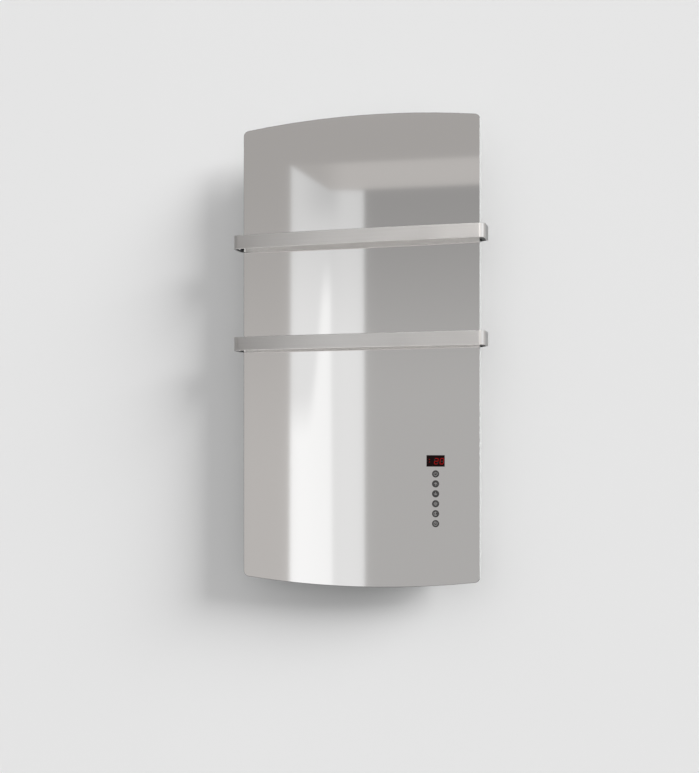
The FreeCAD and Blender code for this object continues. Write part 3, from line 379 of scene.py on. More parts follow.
finishes = {
    "mirror_glass": mirrorFinish(),
    "display_black": smokedFinish(),
    "key_grey": plasticFinish("keyPrint", (0.034, 0.033, 0.033), 0.55, grain=2600.0, depth=0.0001),
    "bar_aluminium": barFinish(),
    "bracket_black": bracketFinish(),
    "casing_paint": coatFinish("casingCoat", (0.30, 0.30, 0.295)),
    "bracket_zinc": zincFinish("railZinc", (0.66, 0.67, 0.68), crystal=170.0),
    "screw_steel": zincFinish("screwZinc", (0.62, 0.62, 0.61), crystal=900.0),
    "sealant": plasticFinish("seamSealant", (0.035, 0.035, 0.036), 0.6, grain=300.0, depth=0.0006),
    "film_brown": plasticFinish("heatingFilm", (0.30, 0.15, 0.05), 0.3, grain=200.0),
    "spreader_aluminium": zincFinish("spreaderFoil", (0.75, 0.75, 0.76), crystal=60.0),
    "mat_white": fibreFinish("mineralMat", (0.72, 0.69, 0.62)),
    "housing_black": plasticFinish("housingMoulding", (0.016, 0.016, 0.017), 0.55),
    "board_green": plasticFinish("circuitBoard", (0.02, 0.13, 0.05), 0.35, grain=500.0, depth=0.0001),
    "foam_grey": fibreFinish("contactFoam", (0.10, 0.10, 0.11)),
    "part_black": plasticFinish("componentCase", (0.014, 0.014, 0.015), 0.4),
    "core_steel": laminateFinish("coreSheets", (0.30, 0.30, 0.31)),
    "capacitor_blue": plasticFinish("capacitorSleeve", (0.02, 0.06, 0.22), 0.3, grain=300.0, depth=0.0001),
    "terminal_white": plasticFinish("terminalMoulding", (0.68, 0.66, 0.60), 0.5),
    "buffer_rubber": plasticFinish("softRubber", (0.020, 0.020, 0.020), 0.8, grain=700.0, depth=0.0004),
    "switch_black": plasticFinish("switchMoulding", (0.012, 0.012, 0.012), 0.32, grain=2400.0, depth=0.0001),
}
matPaintedLightAluminium = barBackFinish()
litRed = glowFinish("litSegment", (1.0, 0.008, 0.007), strength=0.27)
unlitRed = plasticFinish("unlitSegment", (0.035, 0.006, 0.006), 0.3, grain=2000.0, depth=0.0001)
symbolPale = plasticFinish("symbolPrint", (0.30, 0.295, 0.29), 0.5, grain=2600.0, depth=0.0001)
markWhite = plasticFinish("rockerPrint", (0.70, 0.70, 0.69), 0.5, grain=2600.0, depth=0.0001)

slotOf = {part["node"]: part["material_slot"] for part in frame["record"]["subparts"]}
for name, node in nodes.items():
    node.data.materials.clear()
    node.data.materials.append(finishes[slotOf[name]])
print("finishes on", len(nodes), "nodes")


# Towel bars: distances out count from the wall.
bars = {"outer": 0.2748, "endOut": 0.1065, "bow": 0.008, "corner": 0.013, "legEnd": 0.062, "thick": 0.0035,
        "halfHeight": 0.0148, "edgeRound": 0.0012, "holdLine": 0.00025,
        "levels": {"upper": 0.2392, "lower": 0.0192},
        "legSteps": 4, "cornerPoints": 25, "bowSteps": 60, "edgePoints": 7}


# Path of a bar in plan, as (x, out), with its outward normals: leg, corner arc and half the shallow bow, then
# the same mirrored. The bow is a circle through its rise and its half width.
def barPath():
    radius = (bars["outer"] ** 2 + bars["bow"] ** 2) / (2 * bars["bow"])
    bowCentre = bars["endOut"] + bars["bow"] - radius
    turnX = bars["outer"] - bars["corner"]
    turnOut = bowCentre + math.sqrt((radius - bars["corner"]) ** 2 - turnX ** 2)
    lean = math.atan2(turnX, turnOut - bowCentre)  # angle of the bow where the corner begins
    legSteps = bars["legSteps"]
    leg = np.linspace(bars["legEnd"], turnOut, legSteps + 1)[:-1]
    legLine = np.stack([np.full(legSteps, bars["outer"]), leg], axis=1)
    legNormal = np.tile([1.0, 0.0], (legSteps, 1))
    turn = np.linspace(math.pi / 2, lean, bars["cornerPoints"])  # measured from straight out
    turnNormal = np.stack([np.sin(turn), np.cos(turn)], axis=1)
    turnLine = np.array([turnX, turnOut]) + bars["corner"] * turnNormal
    sweep = np.linspace(lean, 0, bars["bowSteps"] + 1)[1:]
    bowNormal = np.stack([np.sin(sweep), np.cos(sweep)], axis=1)
    bowLine = np.array([0, bowCentre]) + radius * bowNormal
    line = np.vstack([legLine, turnLine, bowLine])
    normal = np.vstack([legNormal, turnNormal, bowNormal])
    flip = np.array([-1.0, 1.0])
    return np.vstack([line, line[-2::-1] * flip]), np.vstack([normal, normal[-2::-1] * flip])


# Profile of the strip, as depth behind the outer face and height: four quarter circles, each with a close
# line beside it to hold the flat faces flat.
def barProfile():
    half, thick, edge, hold = (bars[name] for name in ("halfHeight", "thick", "edgeRound", "holdLine"))
    arc = np.linspace(0, math.pi / 2, bars["edgePoints"])
    bend = np.stack([edge - edge * np.sin(arc), half - edge + edge * np.cos(arc)], axis=1)
    corner = np.vstack([[edge + hold, half], bend, [0, half - edge - hold]])
    outerSide = np.vstack([corner, corner[::-1] * [1, -1]])
    innerSide = (outerSide * [-1, 1] + [thick, 0])[::-1]
    return np.vstack([outerSide, innerSide])


# The profile is carried along the path: its depth goes against the normal, its height up from the level.
def makeBar(name, level, replaced):
    line, normal = barPath()
    profile = barProfile()
    rows, cols = len(line), len(profile)
    plan = line[:, None, :] - normal[:, None, :] * profile[None, :, :1]
    height = np.broadcast_to(level + profile[None, :, 1], (rows, cols))
    points = np.stack([plan[..., 0], -plan[..., 1], height], axis=-1).reshape(-1, 3)
    faces = [gridFaces(rows, cols, closeCols=True), endCaps(rows, cols)]
    bar = addPiece(name, points, faces, finishes["bar_aluminium"], "bar_aluminium", replaced=(replaced,))
    bar.data.materials.append(matPaintedLightAluminium)
    column = np.tile(np.arange(cols), rows - 1)
    trim = cols // 8  # most of each round edge stays brushed
    onBack = (column > cols // 2 + trim) & (column < cols - trim)
    bar.data.polygons.foreach_set("material_index", np.append(onBack, [False, False]).astype(np.int32))


makeBar("upperTowelBar", bars["levels"]["upper"], "upper_towel_bar")
makeBar("lowerTowelBar", bars["levels"]["lower"], "lower_towel_bar")
print("towel bars made")


# Flat plates on the glass: an outline of points is given a front and a back ring, joined by a rim.
def platePoints(outline, back, front):
    count = len(outline)
    ring = np.stack([outline[:, 0], np.zeros(count), outline[:, 1]], axis=1)
    points = np.vstack([ring + [0, front, 0], ring + [0, back, 0]])
    here = np.arange(count)
    ahead = (here + 1) % count
    rim = np.stack([count + here, count + ahead, ahead, here], axis=1)
    return points, [np.stack([here, count + here[::-1]]), rim]


# Stroke: a line of points widened to both sides along its normals; a closed line becomes a ring.
def strokePoints(line, width, back, front, closed=False):
    ahead = np.roll(line, -1, axis=0) - np.roll(line, 1, axis=0) if closed else np.gradient(line, axis=0)
    ahead = ahead / np.linalg.norm(ahead, axis=1, keepdims=True)
    side = np.stack([-ahead[:, 1], ahead[:, 0]], axis=1) * width / 2
    loop = np.stack([line + side, line + side, line - side, line - side], axis=1)
    depth = np.broadcast_to([front, back, back, front], loop.shape[:2])
    points = np.stack([loop[..., 0], depth, loop[..., 1]], axis=-1).reshape(-1, 3)
    faces = [gridFaces(len(line), 4, closeRows=closed, closeCols=True)]
    if not closed:
        faces.append(endCaps(len(line), 4))
    return points, faces


# Seven-segment figures: each segment is a long hexagon, leaning a little to the right.
display = {"z": -0.2338, "height": 0.0116, "width": 0.0073, "stroke": 0.0015, "gap": 0.00025, "lean": 0.10,
           "figures": ((0.1682, "abged"), (0.1801, "abcdef")), "segments": "abcdefg", "drop": 0.0006,
           "dotX": 0.1537, "dotRises": (-0.0023, 0.0030), "dotRadius": 0.0009, "dotCorners": 24,
           "face": -0.07702, "back": -0.0769}


# Hexagon from start to end: a tip at each end, and shoulders half a stroke behind the tips.
def segment(start, end):
    start, end = np.array(start), np.array(end)
    along = (end - start) / np.linalg.norm(end - start)
    across = np.array([-along[1], along[0]]) * display["stroke"] / 2
    tip, shoulder = along * display["gap"], along * (display["gap"] + display["stroke"] / 2)
    return np.array([start + tip, start + shoulder + across, end - shoulder + across,
                     end - tip, end - shoulder - across, start + shoulder - across])


# One figure: segments join the corners and side middles of a box, lean in proportion to their height, and
# move to their place.
def figureShapes(x, letters):
    w, h = display["width"] / 2, display["height"] / 2
    ends = {"a": ((-w, h), (w, h)), "b": ((w, h), (w, 0)), "c": ((w, 0), (w, -h)), "d": ((-w, -h), (w, -h)),
            "e": ((-w, 0), (-w, -h)), "f": ((-w, h), (-w, 0)), "g": ((-w, 0), (w, 0))}
    shapes = []
    for letter in letters:
        hexagon = segment(*ends[letter])
        hexagon[:, 0] += hexagon[:, 1] * display["lean"] + x
        hexagon[:, 1] += display["z"] - display["drop"]
        shapes.append(platePoints(hexagon, display["back"], display["face"]))
    return shapes


# Dot: corners at even angles on a circle.
def dotShape(rise):
    turn = np.linspace(0, 2 * math.pi, display["dotCorners"], endpoint=False)
    middle = np.array([display["dotX"], display["z"] + rise])
    outline = middle + display["dotRadius"] * np.stack([np.cos(turn), np.sin(turn)], axis=1)
    return platePoints(outline, display["back"], display["face"])


lit, unlit = [], []
for x, letters in display["figures"]:
    lit += figureShapes(x, letters)
    unlit += figureShapes(x, [letter for letter in display["segments"] if letter not in letters])
lit += [dotShape(rise) for rise in display["dotRises"]]
addPiece("litFigures", *merged(lit), litRed, "display_black")
addPiece("unlitFigures", *merged(unlit), unlitRed, "display_black")


# Key symbols: generic signs made of strokes, in units of the sign's own radius.
keys = {"x": 0.1667, "first": -0.261, "pitch": 0.0208, "scale": 0.0042, "stroke": 0.00095,
        "face": -0.07702, "back": -0.0769, "arcPoints": 28, "linePoints": 5}


# Points on a circle between two angles in degrees.
def arcLine(radius, start, end, centre=(0, 0), count=keys["arcPoints"]):
    turn = np.radians(np.linspace(start, end, count))
    return np.array(centre) + radius * np.stack([np.cos(turn), np.sin(turn)], axis=1)


# A full circle, less the last point, which is the first again.
def ringLine(radius, centre=(0, 0)):
    return arcLine(radius, 0, 360, centre, keys["arcPoints"] + 1)[:-1]


# Points at even steps from start to end.
def straight(start, end):
    return np.linspace(start, end, keys["linePoints"])


# Straight lines outwards at even angles, from one radius to another.
def rays(inner, outer, count):
    turn = np.radians(np.arange(count) * 360 / count)
    return [straight(inner * way, outer * way) for way in np.stack([np.cos(turn), np.sin(turn)], axis=1)]


# Each sign has its closed rings, then its open lines.
signs = {
    "standby": ([], [arcLine(0.85, 125, 415), straight((0, 0.2), (0, 1.0))]),
    "up": ([], [straight((-0.8, -0.15), (0, 0.65)), straight((0, 0.65), (0.8, -0.15)),
                straight((0, 0.5), (0, -0.85))]),
    "down": ([], [straight((-0.8, 0.15), (0, -0.65)), straight((0, -0.65), (0.8, 0.15)),
                  straight((0, -0.5), (0, 0.85))]),
    "sun": ([ringLine(0.42)], rays(0.68, 1.02, 8)),
    "moon": ([], [arcLine(0.85, 50, 310), arcLine(0.78, 290, 70, (0.62, 0.0))[::-1] * [0.75, 0.82]]),
    "clock": ([ringLine(0.88)], [straight((0, 0), (0, 0.62)), straight((0, 0), (0.42, -0.2))]),
}


# One sign: its lines times the scale, moved to its row, and widened to strokes.
def signShapes(row, rings, lines):
    middle = np.array([keys["x"], keys["first"] - row * keys["pitch"]])
    strokes = [(line, True) for line in rings] + [(line, False) for line in lines]
    return [strokePoints(line * keys["scale"] + middle, keys["stroke"], keys["back"], keys["face"], closed)
            for line, closed in strokes]


signStrokes = [shape for row, sign in enumerate(signs.values()) for shape in signShapes(row, *sign)]
addPiece("keySymbols", *merged(signStrokes), symbolPale, "key_grey")
print("display and key symbols made")


# Rear cover: a sheet on a grid whose lines follow every opening, with two long grooves and a hood pressed up
# beside each louvre. Steps are the distances of the grid's lines from the edge or middle they belong to.
cover = {"half": 0.2183, "top": 0.4443, "corner": 0.0128, "cornerLines": 7, "face": -0.0200, "thick": 0.0012,
         "louvreLevels": (0.340, -0.262), "louvrePitch": 0.024, "louvreCount": 13,
         "louvreHalf": 0.0025, "louvreReach": 0.0200, "louvreTip": 0.25,
         "louvreSteps": (0, 0.006, 0.011, 0.0145, 0.016, 0.0175, 0.0184, 0.0192, 0.0197,
                         0.0212, 0.0225, 0.024),
         "hoodRise": 0.0024, "hoodWidth": 0.0090, "hoodEnds": (0.0240, 0.0145),
         "hoodSteps": (0.0, 0.0006, 0.0018, 0.0034, 0.0050, 0.0066, 0.0080, 0.0092, 0.0105),
         "farSteps": (0.0, 0.0008),
         "grooveX": 0.055, "grooveHalf": 0.009, "grooveEnds": (0.290, -0.212), "grooveDepth": 0.0024,
         "grooveWall": (0.0004, 0.0040), "grooveSteps": (-0.010, 0.010, 17),
         "grooveEndSteps": (-0.010, 0.001, 12),
         "hookX": 0.114, "hookHalf": 0.003, "hookTops": (0.200, -0.200), "hookHeight": 0.028,
         "plainX": (0.170, 0.188), "plainRows": (-0.42, 0.42, 15), "hair": 1e-6}


# Middles of the louvres: even steps of the pitch about the middle of the cover.
def louvreCentres():
    return (np.arange(cover["louvreCount"]) - (cover["louvreCount"] - 1) / 2) * cover["louvrePitch"]


# Distance up or down to the middle of the nearest row of louvres.
def louvreDown(z):
    return np.abs(z[..., None] - np.array(cover["louvreLevels"])).min(axis=-1)


# Lines of the grid: the steps about every opening, groove and round corner, the same mirrored in X, in order
# and each only once.
def coverLines():
    edge = cover["louvreHalf"]
    beside = np.concatenate([-edge - np.array(cover["hoodSteps"]), edge + np.array(cover["farSteps"])])
    along = np.append(cover["louvreSteps"], cover["louvreReach"])
    rim = np.linspace(0, cover["corner"], cover["cornerLines"])
    xLines = np.concatenate([(louvreCentres()[:, None] + beside).ravel(),
                             cover["grooveX"] + np.linspace(*cover["grooveSteps"]),
                             cover["hookX"] + np.array([-1, 1]) * cover["hookHalf"],
                             cover["half"] - rim, cover["plainX"]])
    upper, lower = cover["grooveEnds"]
    ends = np.linspace(*cover["grooveEndSteps"])
    levels, hookTops = np.array(cover["louvreLevels"]), np.array(cover["hookTops"])
    zLines = np.concatenate([(levels[:, None] + np.concatenate([along, -along])).ravel(),
                             upper + ends, lower - ends, hookTops, hookTops - cover["hookHeight"],
                             cover["top"] - rim, rim - cover["top"], np.linspace(*cover["plainRows"])])
    return np.unique(np.round(np.concatenate([xLines, -xLines]), 5)), np.unique(np.round(zLines, 5))


# Grid corners beyond the straight edges are folded on to quarter discs, so that the sheet gets round corners.
def roundCorners(x, z):
    corner = cover["corner"]
    u = np.clip((np.abs(x) - cover["half"] + corner) / corner, 0, 1)
    v = np.clip((np.abs(z) - cover["top"] + corner) / corner, 0, 1)
    x = x + np.sign(x) * corner * u * (np.sqrt(1 - v ** 2 / 2) - 1)
    z = z + np.sign(z) * corner * v * (np.sqrt(1 - u ** 2 / 2) - 1)
    return x, z


# Height of the sheet: grooves go in by a smooth step of the distance to their middle line, and hoods rise as
# half a cosine up to the louvre's edge.
def coverHeight(x, z):
    upper, lower = cover["grooveEnds"]
    half = cover["grooveHalf"]
    past = np.maximum(np.maximum(z - upper + half, lower + half - z), 0)
    wall = [half - step for step in cover["grooveWall"]]
    groove = cover["grooveDepth"] * smooth(wall, np.hypot(np.abs(x) - cover["grooveX"], past))
    away = -cover["louvreHalf"] + louvreCentres()[:, None, None] - x
    onHood = (away > -cover["hair"]) & (away < cover["hoodWidth"])
    rise = np.where(onHood, 0.5 + 0.5 * np.cos(math.pi * away / cover["hoodWidth"]), 0).max(axis=0)
    taper = sum(smooth(cover["hoodEnds"], np.abs(z - level)) for level in cover["louvreLevels"])
    return cover["face"] - groove + cover["hoodRise"] * taper * rise


# Cells that are cut away: those with their middle in a louvre or in a hook's slot.
def coverOpenings(xLine, zLine):
    x, z = np.meshgrid((xLine[1:] + xLine[:-1]) / 2, (zLine[1:] + zLine[:-1]) / 2, indexing="ij")
    beside = np.abs(x[..., None] - louvreCentres()).min(axis=-1)
    cut = (beside < cover["louvreHalf"]) & (louvreDown(z) < cover["louvreReach"])
    inSlot = np.abs(np.abs(x) - cover["hookX"]) < cover["hookHalf"]
    for top in cover["hookTops"]:
        cut |= inSlot & (z < top) & (z > top - cover["hookHeight"])
    return cut


# Round ends of the louvres: near its end an edge draws in to the middle line as a circle does.
def roundLouvres(x, z):
    half, reach, hair = cover["louvreHalf"], cover["louvreReach"], cover["hair"]
    centre = louvreCentres()[np.abs(x[..., None] - louvreCentres()).argmin(axis=-1)]
    down = louvreDown(z)
    onEdge = (np.abs(np.abs(x - centre) - half) < hair) & (down < reach + hair)
    past = np.clip((down - reach + half) / half, 0, 1)
    narrowed = centre + (x - centre) * np.maximum(np.sqrt(1 - past ** 2), cover["louvreTip"])
    return np.where(onEdge, narrowed, x)


# The sheet is the grid less its openings, a copy one thickness further in, and a rim along every free edge.
def coverSheet():
    xLine, zLine = coverLines()
    x, z = np.meshgrid(xLine, zLine, indexing="ij")
    y = coverHeight(x, z)
    x, z = roundCorners(roundLouvres(x, z), z)
    points = np.stack([x, y, z], axis=-1).reshape(-1, 3)
    quads = gridFaces(*x.shape)[~coverOpenings(xLine, zLine).ravel()][:, ::-1]
    used, quads = np.unique(quads, return_inverse=True)
    points, quads = points[used], quads.reshape(-1, 4)
    count = len(points)
    start, end = quads, np.roll(quads, -1, axis=1)
    free = ~np.isin(start * count + end, end * count + start)
    rim = np.stack([end[free], start[free], start[free] + count, end[free] + count], axis=1)
    inner = points - [0, cover["thick"], 0]
    return np.vstack([points, inner]), [np.vstack([quads, quads[:, ::-1] + count, rim])]


addPiece("rearCoverSheet", *coverSheet(), finishes["casing_paint"], "casing_paint",
         replaced=("rear_cover",), sharpAngle=40)
print("rear cover made")


# Screw heads: their shape, and their places on the cover and on the tabs of the bar brackets.
screws = {"radius": 0.0035, "thick": 0.0024, "crown": 0.0008, "points": 27, "crossHalf": 0.00052,
          "crossReach": 0.0021, "crossDepth": 0.0013, "crossWall": 0.0003, "crossTaper": 0.35,
          "firstTurn": 0.3, "turnStep": 0.7,
          "coverX": 0.2108, "coverY": -0.0200, "coverRows": (0.4368, 0.125, -0.125, -0.4368),
          "middleRows": (0.4368, -0.4368), "tabX": 0.240, "tabY": -0.0608, "tabStep": 0.013}


# Screw head: a square grid folded on to a disc. The dome falls with the square of the radius, a cross of two
# arms is sunk into it, and a rim joins it to a flat seat.
def headPoints():
    side = np.linspace(-1, 1, screws["points"])
    u, v = np.meshgrid(side, side, indexing="ij")
    x = screws["radius"] * u * np.sqrt(1 - v ** 2 / 2)
    y = screws["radius"] * v * np.sqrt(1 - u ** 2 / 2)
    away = np.hypot(x, y)
    dome = screws["thick"] - screws["crown"] * (away / screws["radius"]) ** 2
    half, reach = screws["crossHalf"], screws["crossReach"]
    firstArm = np.maximum(np.abs(x) - half, np.abs(y) - reach)
    secondArm = np.maximum(np.abs(y) - half, np.abs(x) - reach)
    inCross = np.clip(0.5 - np.minimum(firstArm, secondArm) / screws["crossWall"], 0, 1)
    sink = inCross * screws["crossDepth"] * (1 - screws["crossTaper"] * away / reach).clip(0)
    top = np.stack([x, y, dome - sink], axis=-1).reshape(-1, 3)
    seat = np.stack([x, y, np.zeros_like(x)], axis=-1).reshape(-1, 3)
    count = len(top)
    index = np.arange(count).reshape(x.shape)
    border = np.concatenate([index[0, :-1], index[:-1, -1], index[-1, :0:-1], index[:0:-1, 0]])
    ahead = np.roll(border, -1)
    quads = gridFaces(*x.shape)
    rim = np.stack([border, ahead, ahead + count, border + count], axis=1)
    return np.vstack([top, seat]), [np.vstack([quads, quads[:, ::-1] + count, rim])]


# Heads are set at their places with their crowns to the wall; each is turned by its own angle.
def headShapes(places):
    points, faces = headPoints()
    out, first, second = np.array([[0.0, 1.0, 0.0], [0.0, 0.0, 1.0], [1.0, 0.0, 0.0]])
    shapes = []
    for number, place in enumerate(places):
        turn = screws["turnStep"] * number + screws["firstTurn"]
        across = math.cos(turn) * first + math.sin(turn) * second
        turned = points @ np.array([across, np.cross(out, across), out])
        shapes.append((turned + np.array(place), faces))
    return shapes


coverPlaces = [(side * screws["coverX"], screws["coverY"], row)
               for side in (-1, 1) for row in screws["coverRows"]]
coverPlaces += [(0.0, screws["coverY"], row) for row in screws["middleRows"]]
tabPlaces = [(side * screws["tabX"], screws["tabY"], level + step * screws["tabStep"])
             for side in (-1, 1) for level in bars["levels"].values() for step in (-1, 1)]
addPiece("coverScrewHeads", *merged(headShapes(coverPlaces)), finishes["screw_steel"], "screw_steel",
         replaced=("cover_screws",), sharpAngle=40)
addPiece("bracketScrewHeads", *merged(headShapes(tabPlaces)), finishes["screw_steel"], "screw_steel",
         replaced=("bracket_screws",), sharpAngle=40)
print("screw heads made")


# Rubber stand-offs: the profile gives radius and distance from the wall, with a round rim and a grooved foot.
buffers = {"x": 0.165, "z": -0.388, "count": 56,
           "profile": ((0.0040, 0.0004), (0.0044, 0.0), (0.0092, 0.0), (0.0097, 0.0002),
                       (0.0100, 0.0007), (0.0100, 0.0054), (0.0102, 0.0058), (0.0106, 0.0060),
                       (0.0122, 0.0060), (0.0127, 0.0062), (0.0130, 0.0067), (0.0130, 0.0120),
                       (0.0127, 0.0123), (0.0127, 0.0137), (0.0130, 0.0140), (0.0130, 0.0194),
                       (0.0126, 0.0200))}


# The profile is turned about an axis that points at the wall, and closed at both ends.
def bufferShape(side):
    profile = np.array(buffers["profile"])
    rows, cols = len(profile), buffers["count"]
    turn = np.linspace(0, 2 * math.pi, cols, endpoint=False)
    x = side * buffers["x"] + profile[:, :1] * np.cos(turn)
    z = buffers["z"] + profile[:, :1] * np.sin(turn)
    points = np.stack([x, np.broadcast_to(-profile[:, 1:], x.shape), z], axis=-1).reshape(-1, 3)
    return points, [gridFaces(rows, cols, closeCols=True), endCaps(rows, cols)]


addPiece("rubberStandOffs", *merged([bufferShape(-1), bufferShape(1)]), finishes["buffer_rubber"],
         "buffer_rubber", replaced=("wall_buffers",), sharpAngle=50)
print("stand-offs made")


# Rocker marks: a bar and a ring laid on the two sloping faces of the rocker, then tilted with it.
rocker = {"pivot": (0.219, -0.044, -0.412), "tilt": 10.0, "half": 0.003, "dish": 0.0014, "length": 0.0152,
          "stroke": 0.0006, "rise": 0.00005, "bar": (0.0026, 0.0054),
          "ringRadius": 0.0014, "ringDown": -0.004}


# The height of a mark grows in proportion to its distance from the middle of the rocker; then it is turned by
# the tilt and moved to the pivot.
def rockerShapes():
    slope = rocker["dish"] / (rocker["length"] / 2)
    bar = straight(*[(0, end) for end in rocker["bar"]])
    ring = ringLine(rocker["ringRadius"], (0, rocker["ringDown"]))
    turn = math.radians(rocker["tilt"])
    shapes = []
    for line, closed in ((bar, False), (ring, True)):
        points, faces = strokePoints(line, rocker["stroke"], 0.0, rocker["rise"], closed)
        across, lift, along = points.T
        out = rocker["half"] + slope * np.abs(along) + lift
        x = out * math.cos(turn) + along * math.sin(turn)
        z = along * math.cos(turn) - out * math.sin(turn)
        shapes.append((np.stack([x, across, z], axis=1) + np.array(rocker["pivot"]), faces))
    return shapes


addPiece("rockerMarks", *merged(rockerShapes()), markWhite, "switch_black", body="rocker")
print("rocker marks made")


# Stage: a pale wall, which can be seen through from behind, and a floor.
stage = {"wallTone": (0.88, 0.88, 0.88), "floorTone": (0.50, 0.50, 0.50), "rough": 0.9,
         "wallBack": 0.0008, "wallTop": 5, "floorLevel": -1.1, "reach": 7.0}


# A patch between four corners: the points are the corners weighed by two parameters.
def patch(corners, rows, cols):
    u, v = np.meshgrid(np.linspace(0, 1, rows), np.linspace(0, 1, cols), indexing="ij")
    a, b, c, d = (np.array(corner, float) for corner in corners)
    weights = [((1 - u) * (1 - v), a), (u * (1 - v), b), (u * v, c), ((1 - u) * v, d)]
    return sum(w[..., None] * corner for w, corner in weights).reshape(-1, 3)


def stageSheet(name, corners, finish, rows=2, cols=2):
    sheet = putMesh(name, patch(corners, rows, cols), [gridFaces(rows, cols)])
    sheet.data.materials.append(finish)
    return sheet


# Corners of a sheet that faces along X, Y or Z, from its two other coordinates.
def facingX(x, corners):
    return [(x, y, z) for y, z in corners]


def facingY(y, corners):
    return [(x, y, z) for x, z in corners]


def facingZ(z, half, first, second):
    return [(-half, first, z), (half, first, z), (half, second, z), (-half, second, z)]


def wallFinish():
    finish, tree, shader = newFinish("wallPaint", stage["wallTone"], stage["rough"])
    side = tree.nodes.new("ShaderNodeNewGeometry")
    clear = tree.nodes.new("ShaderNodeBsdfTransparent")
    mix = tree.nodes.new("ShaderNodeMixShader")
    sides = (side.outputs["Backfacing"], shader.outputs["BSDF"], clear.outputs["BSDF"])
    for socket, value in zip(mix.inputs, sides):
        tree.links.new(value, socket)
    feed(tree.nodes["Material Output"], "Surface", mix.outputs["Shader"])
    return finish


reach, floorLevel, wallTop = (stage[name] for name in ("reach", "floorLevel", "wallTop"))
wallCorners = ((-reach, floorLevel), (reach, floorLevel), (reach, wallTop), (-reach, wallTop))
wall = stageSheet("wall", facingY(stage["wallBack"], wallCorners), wallFinish())
wall.visible_shadow = False  # the back of the heater is lit for views from behind
floorFinish, _, _ = newFinish("floorPaint", stage["floorTone"], stage["rough"])
floor = stageSheet("floor", facingZ(floorLevel, reach, -reach, reach), floorFinish)
floor.visible_diffuse = False  # light from below is set by the sky alone


# Reflected room: sheets that only shiny surfaces see, each with its own tones as a colour attribute.
def roomFinish():
    finish = bpy.data.materials.new("reflectedRoom")
    finish.use_nodes = True
    tree = finish.node_tree
    tree.nodes.clear()
    tone = tree.nodes.new("ShaderNodeAttribute")
    tone.attribute_name = "tone"
    glow = tree.nodes.new("ShaderNodeEmission")
    out = tree.nodes.new("ShaderNodeOutputMaterial")
    tree.links.new(tone.outputs["Color"], glow.inputs["Color"])
    tree.links.new(glow.outputs["Emission"], out.inputs["Surface"])
    return finish


roomGlow = roomFinish()


# A sheet of the room: its points carry the tone, and only shiny surfaces see it.
def glowSheet(name, corners, toneOf, rows=60, cols=60):
    sheet = stageSheet(name, corners, roomGlow, rows, cols)
    points = patch(corners, rows, cols)
    tone = np.ones((len(points), 4))
    tone[:, :3] = toneOf(*points.T)
    sheet.data.color_attributes.new("tone", "FLOAT_COLOR", "POINT").data.foreach_set("color", tone.ravel())
    sheet.visible_camera = False
    sheet.visible_diffuse = False
    sheet.visible_shadow = False


# Walls, floor and ceiling of the room. A pair whose name ends in an axis has the edges of a smooth step along
# it, as in the next two dictionaries.
room = {"warm": np.array([1.0, 0.962, 0.935]), "half": 3.4, "far": -3.25, "near": -0.05, "foot": -1.08,
        "top": 4, "side": 0.25, "sideZ": (1.2, -1.08),
        "shadeY": -0.012, "shadeTop": 2, "shadeGap": (-0.5, 0.36), "shadeRight": 0.56,
        "floor": 0.92, "floorFall": 0.58, "floorX": (0.4, 3.2), "floorY": (-1.5, -3.1), "floorZ": -1.085,
        "bright": 0.86, "brightZ": (-1.0, 0.6), "brightLeast": 0.85, "brightY": (-2.0, -1.0),
        "brightNear": -0.5, "ceilingLeft": 0.22, "ceilingRight": 0.75, "ceilingX": (-0.6, 1.4),
        "ceilingZ": 2.4, "ceilingNear": -0.02}

# The wall behind the camera: darker far to the left, brighter at a window on the right and at the ceiling.
farWall = {"half": 6, "high": 0.385, "low": 0.50, "heights": (1.3, -0.4),
           "dim": 0.9, "dimStart": (-1.45, -1.9), "dimEnd": (-3.2, -2.5), "dimZ": (1.1, 0.3),
           "dimLeast": 0.35,
           "window": 1.3, "windowX": (-0.22, 0.25), "windowZ": (-0.5, 0.9), "windowEnd": (0.8, 1.8),
           "windowFall": 0.65, "light": 2.3, "lightZ": (1.45, 1.8), "lightStart": (-1.6, -0.6),
           "lightEnd": (0.6, 1.6)}

# A recess in that wall: a lit side, a pale strip, a soffit and a back panel.
recess = {"y": -3.2, "sideCorners": ((-1.181, 1.210), (-1.190, -1.08), (-0.965, -1.08), (-0.980, 1.075)),
          "stripCorners": ((-0.980, 1.075), (-0.965, -1.08), (-0.802, -1.08), (-0.807, 1.065)),
          "soffitCorners": ((-1.181, 1.210), (-0.980, 1.075), (0.6, 1.045), (0.6, 1.175)),
          "panelCorners": ((-0.807, 1.065), (-0.802, -1.08), (0.6, -1.08), (0.6, 1.045)),
          "sideHigh": 0.66, "sideLow": 0.80, "sideZ": (1.1, 0.35), "glow": 1.0, "glowTop": 0.695,
          "glowDrop": 0.65, "glowX": -1.005, "glowWidth": 0.045, "glowFade": (0.06, -0.22),
          "stripHigh": 0.65, "stripLow": 0.80, "stripZ": (1.1, 0.2), "soffit": 0.50, "soffitLeast": 0.84,
          "soffitX": (-1.06, -0.88), "panelHigh": 0.31, "panelLow": 0.435, "panelZ": (1.1, 0.0),
          "shade": 0.03, "topShade": 0.13, "shadeZ": (0.88, 1.06), "sideShadeX": (-1.17, -1.0),
          "stripShadeX": (-0.90, -0.98)}


# Tones of the sheets: levels that change by smooth steps along an axis, as a plain grey or in the room's warm
# white.
def neutral(tone):
    return np.repeat(tone[:, None], 3, axis=1)


def warmed(tone):
    return tone[:, None] * room["warm"]


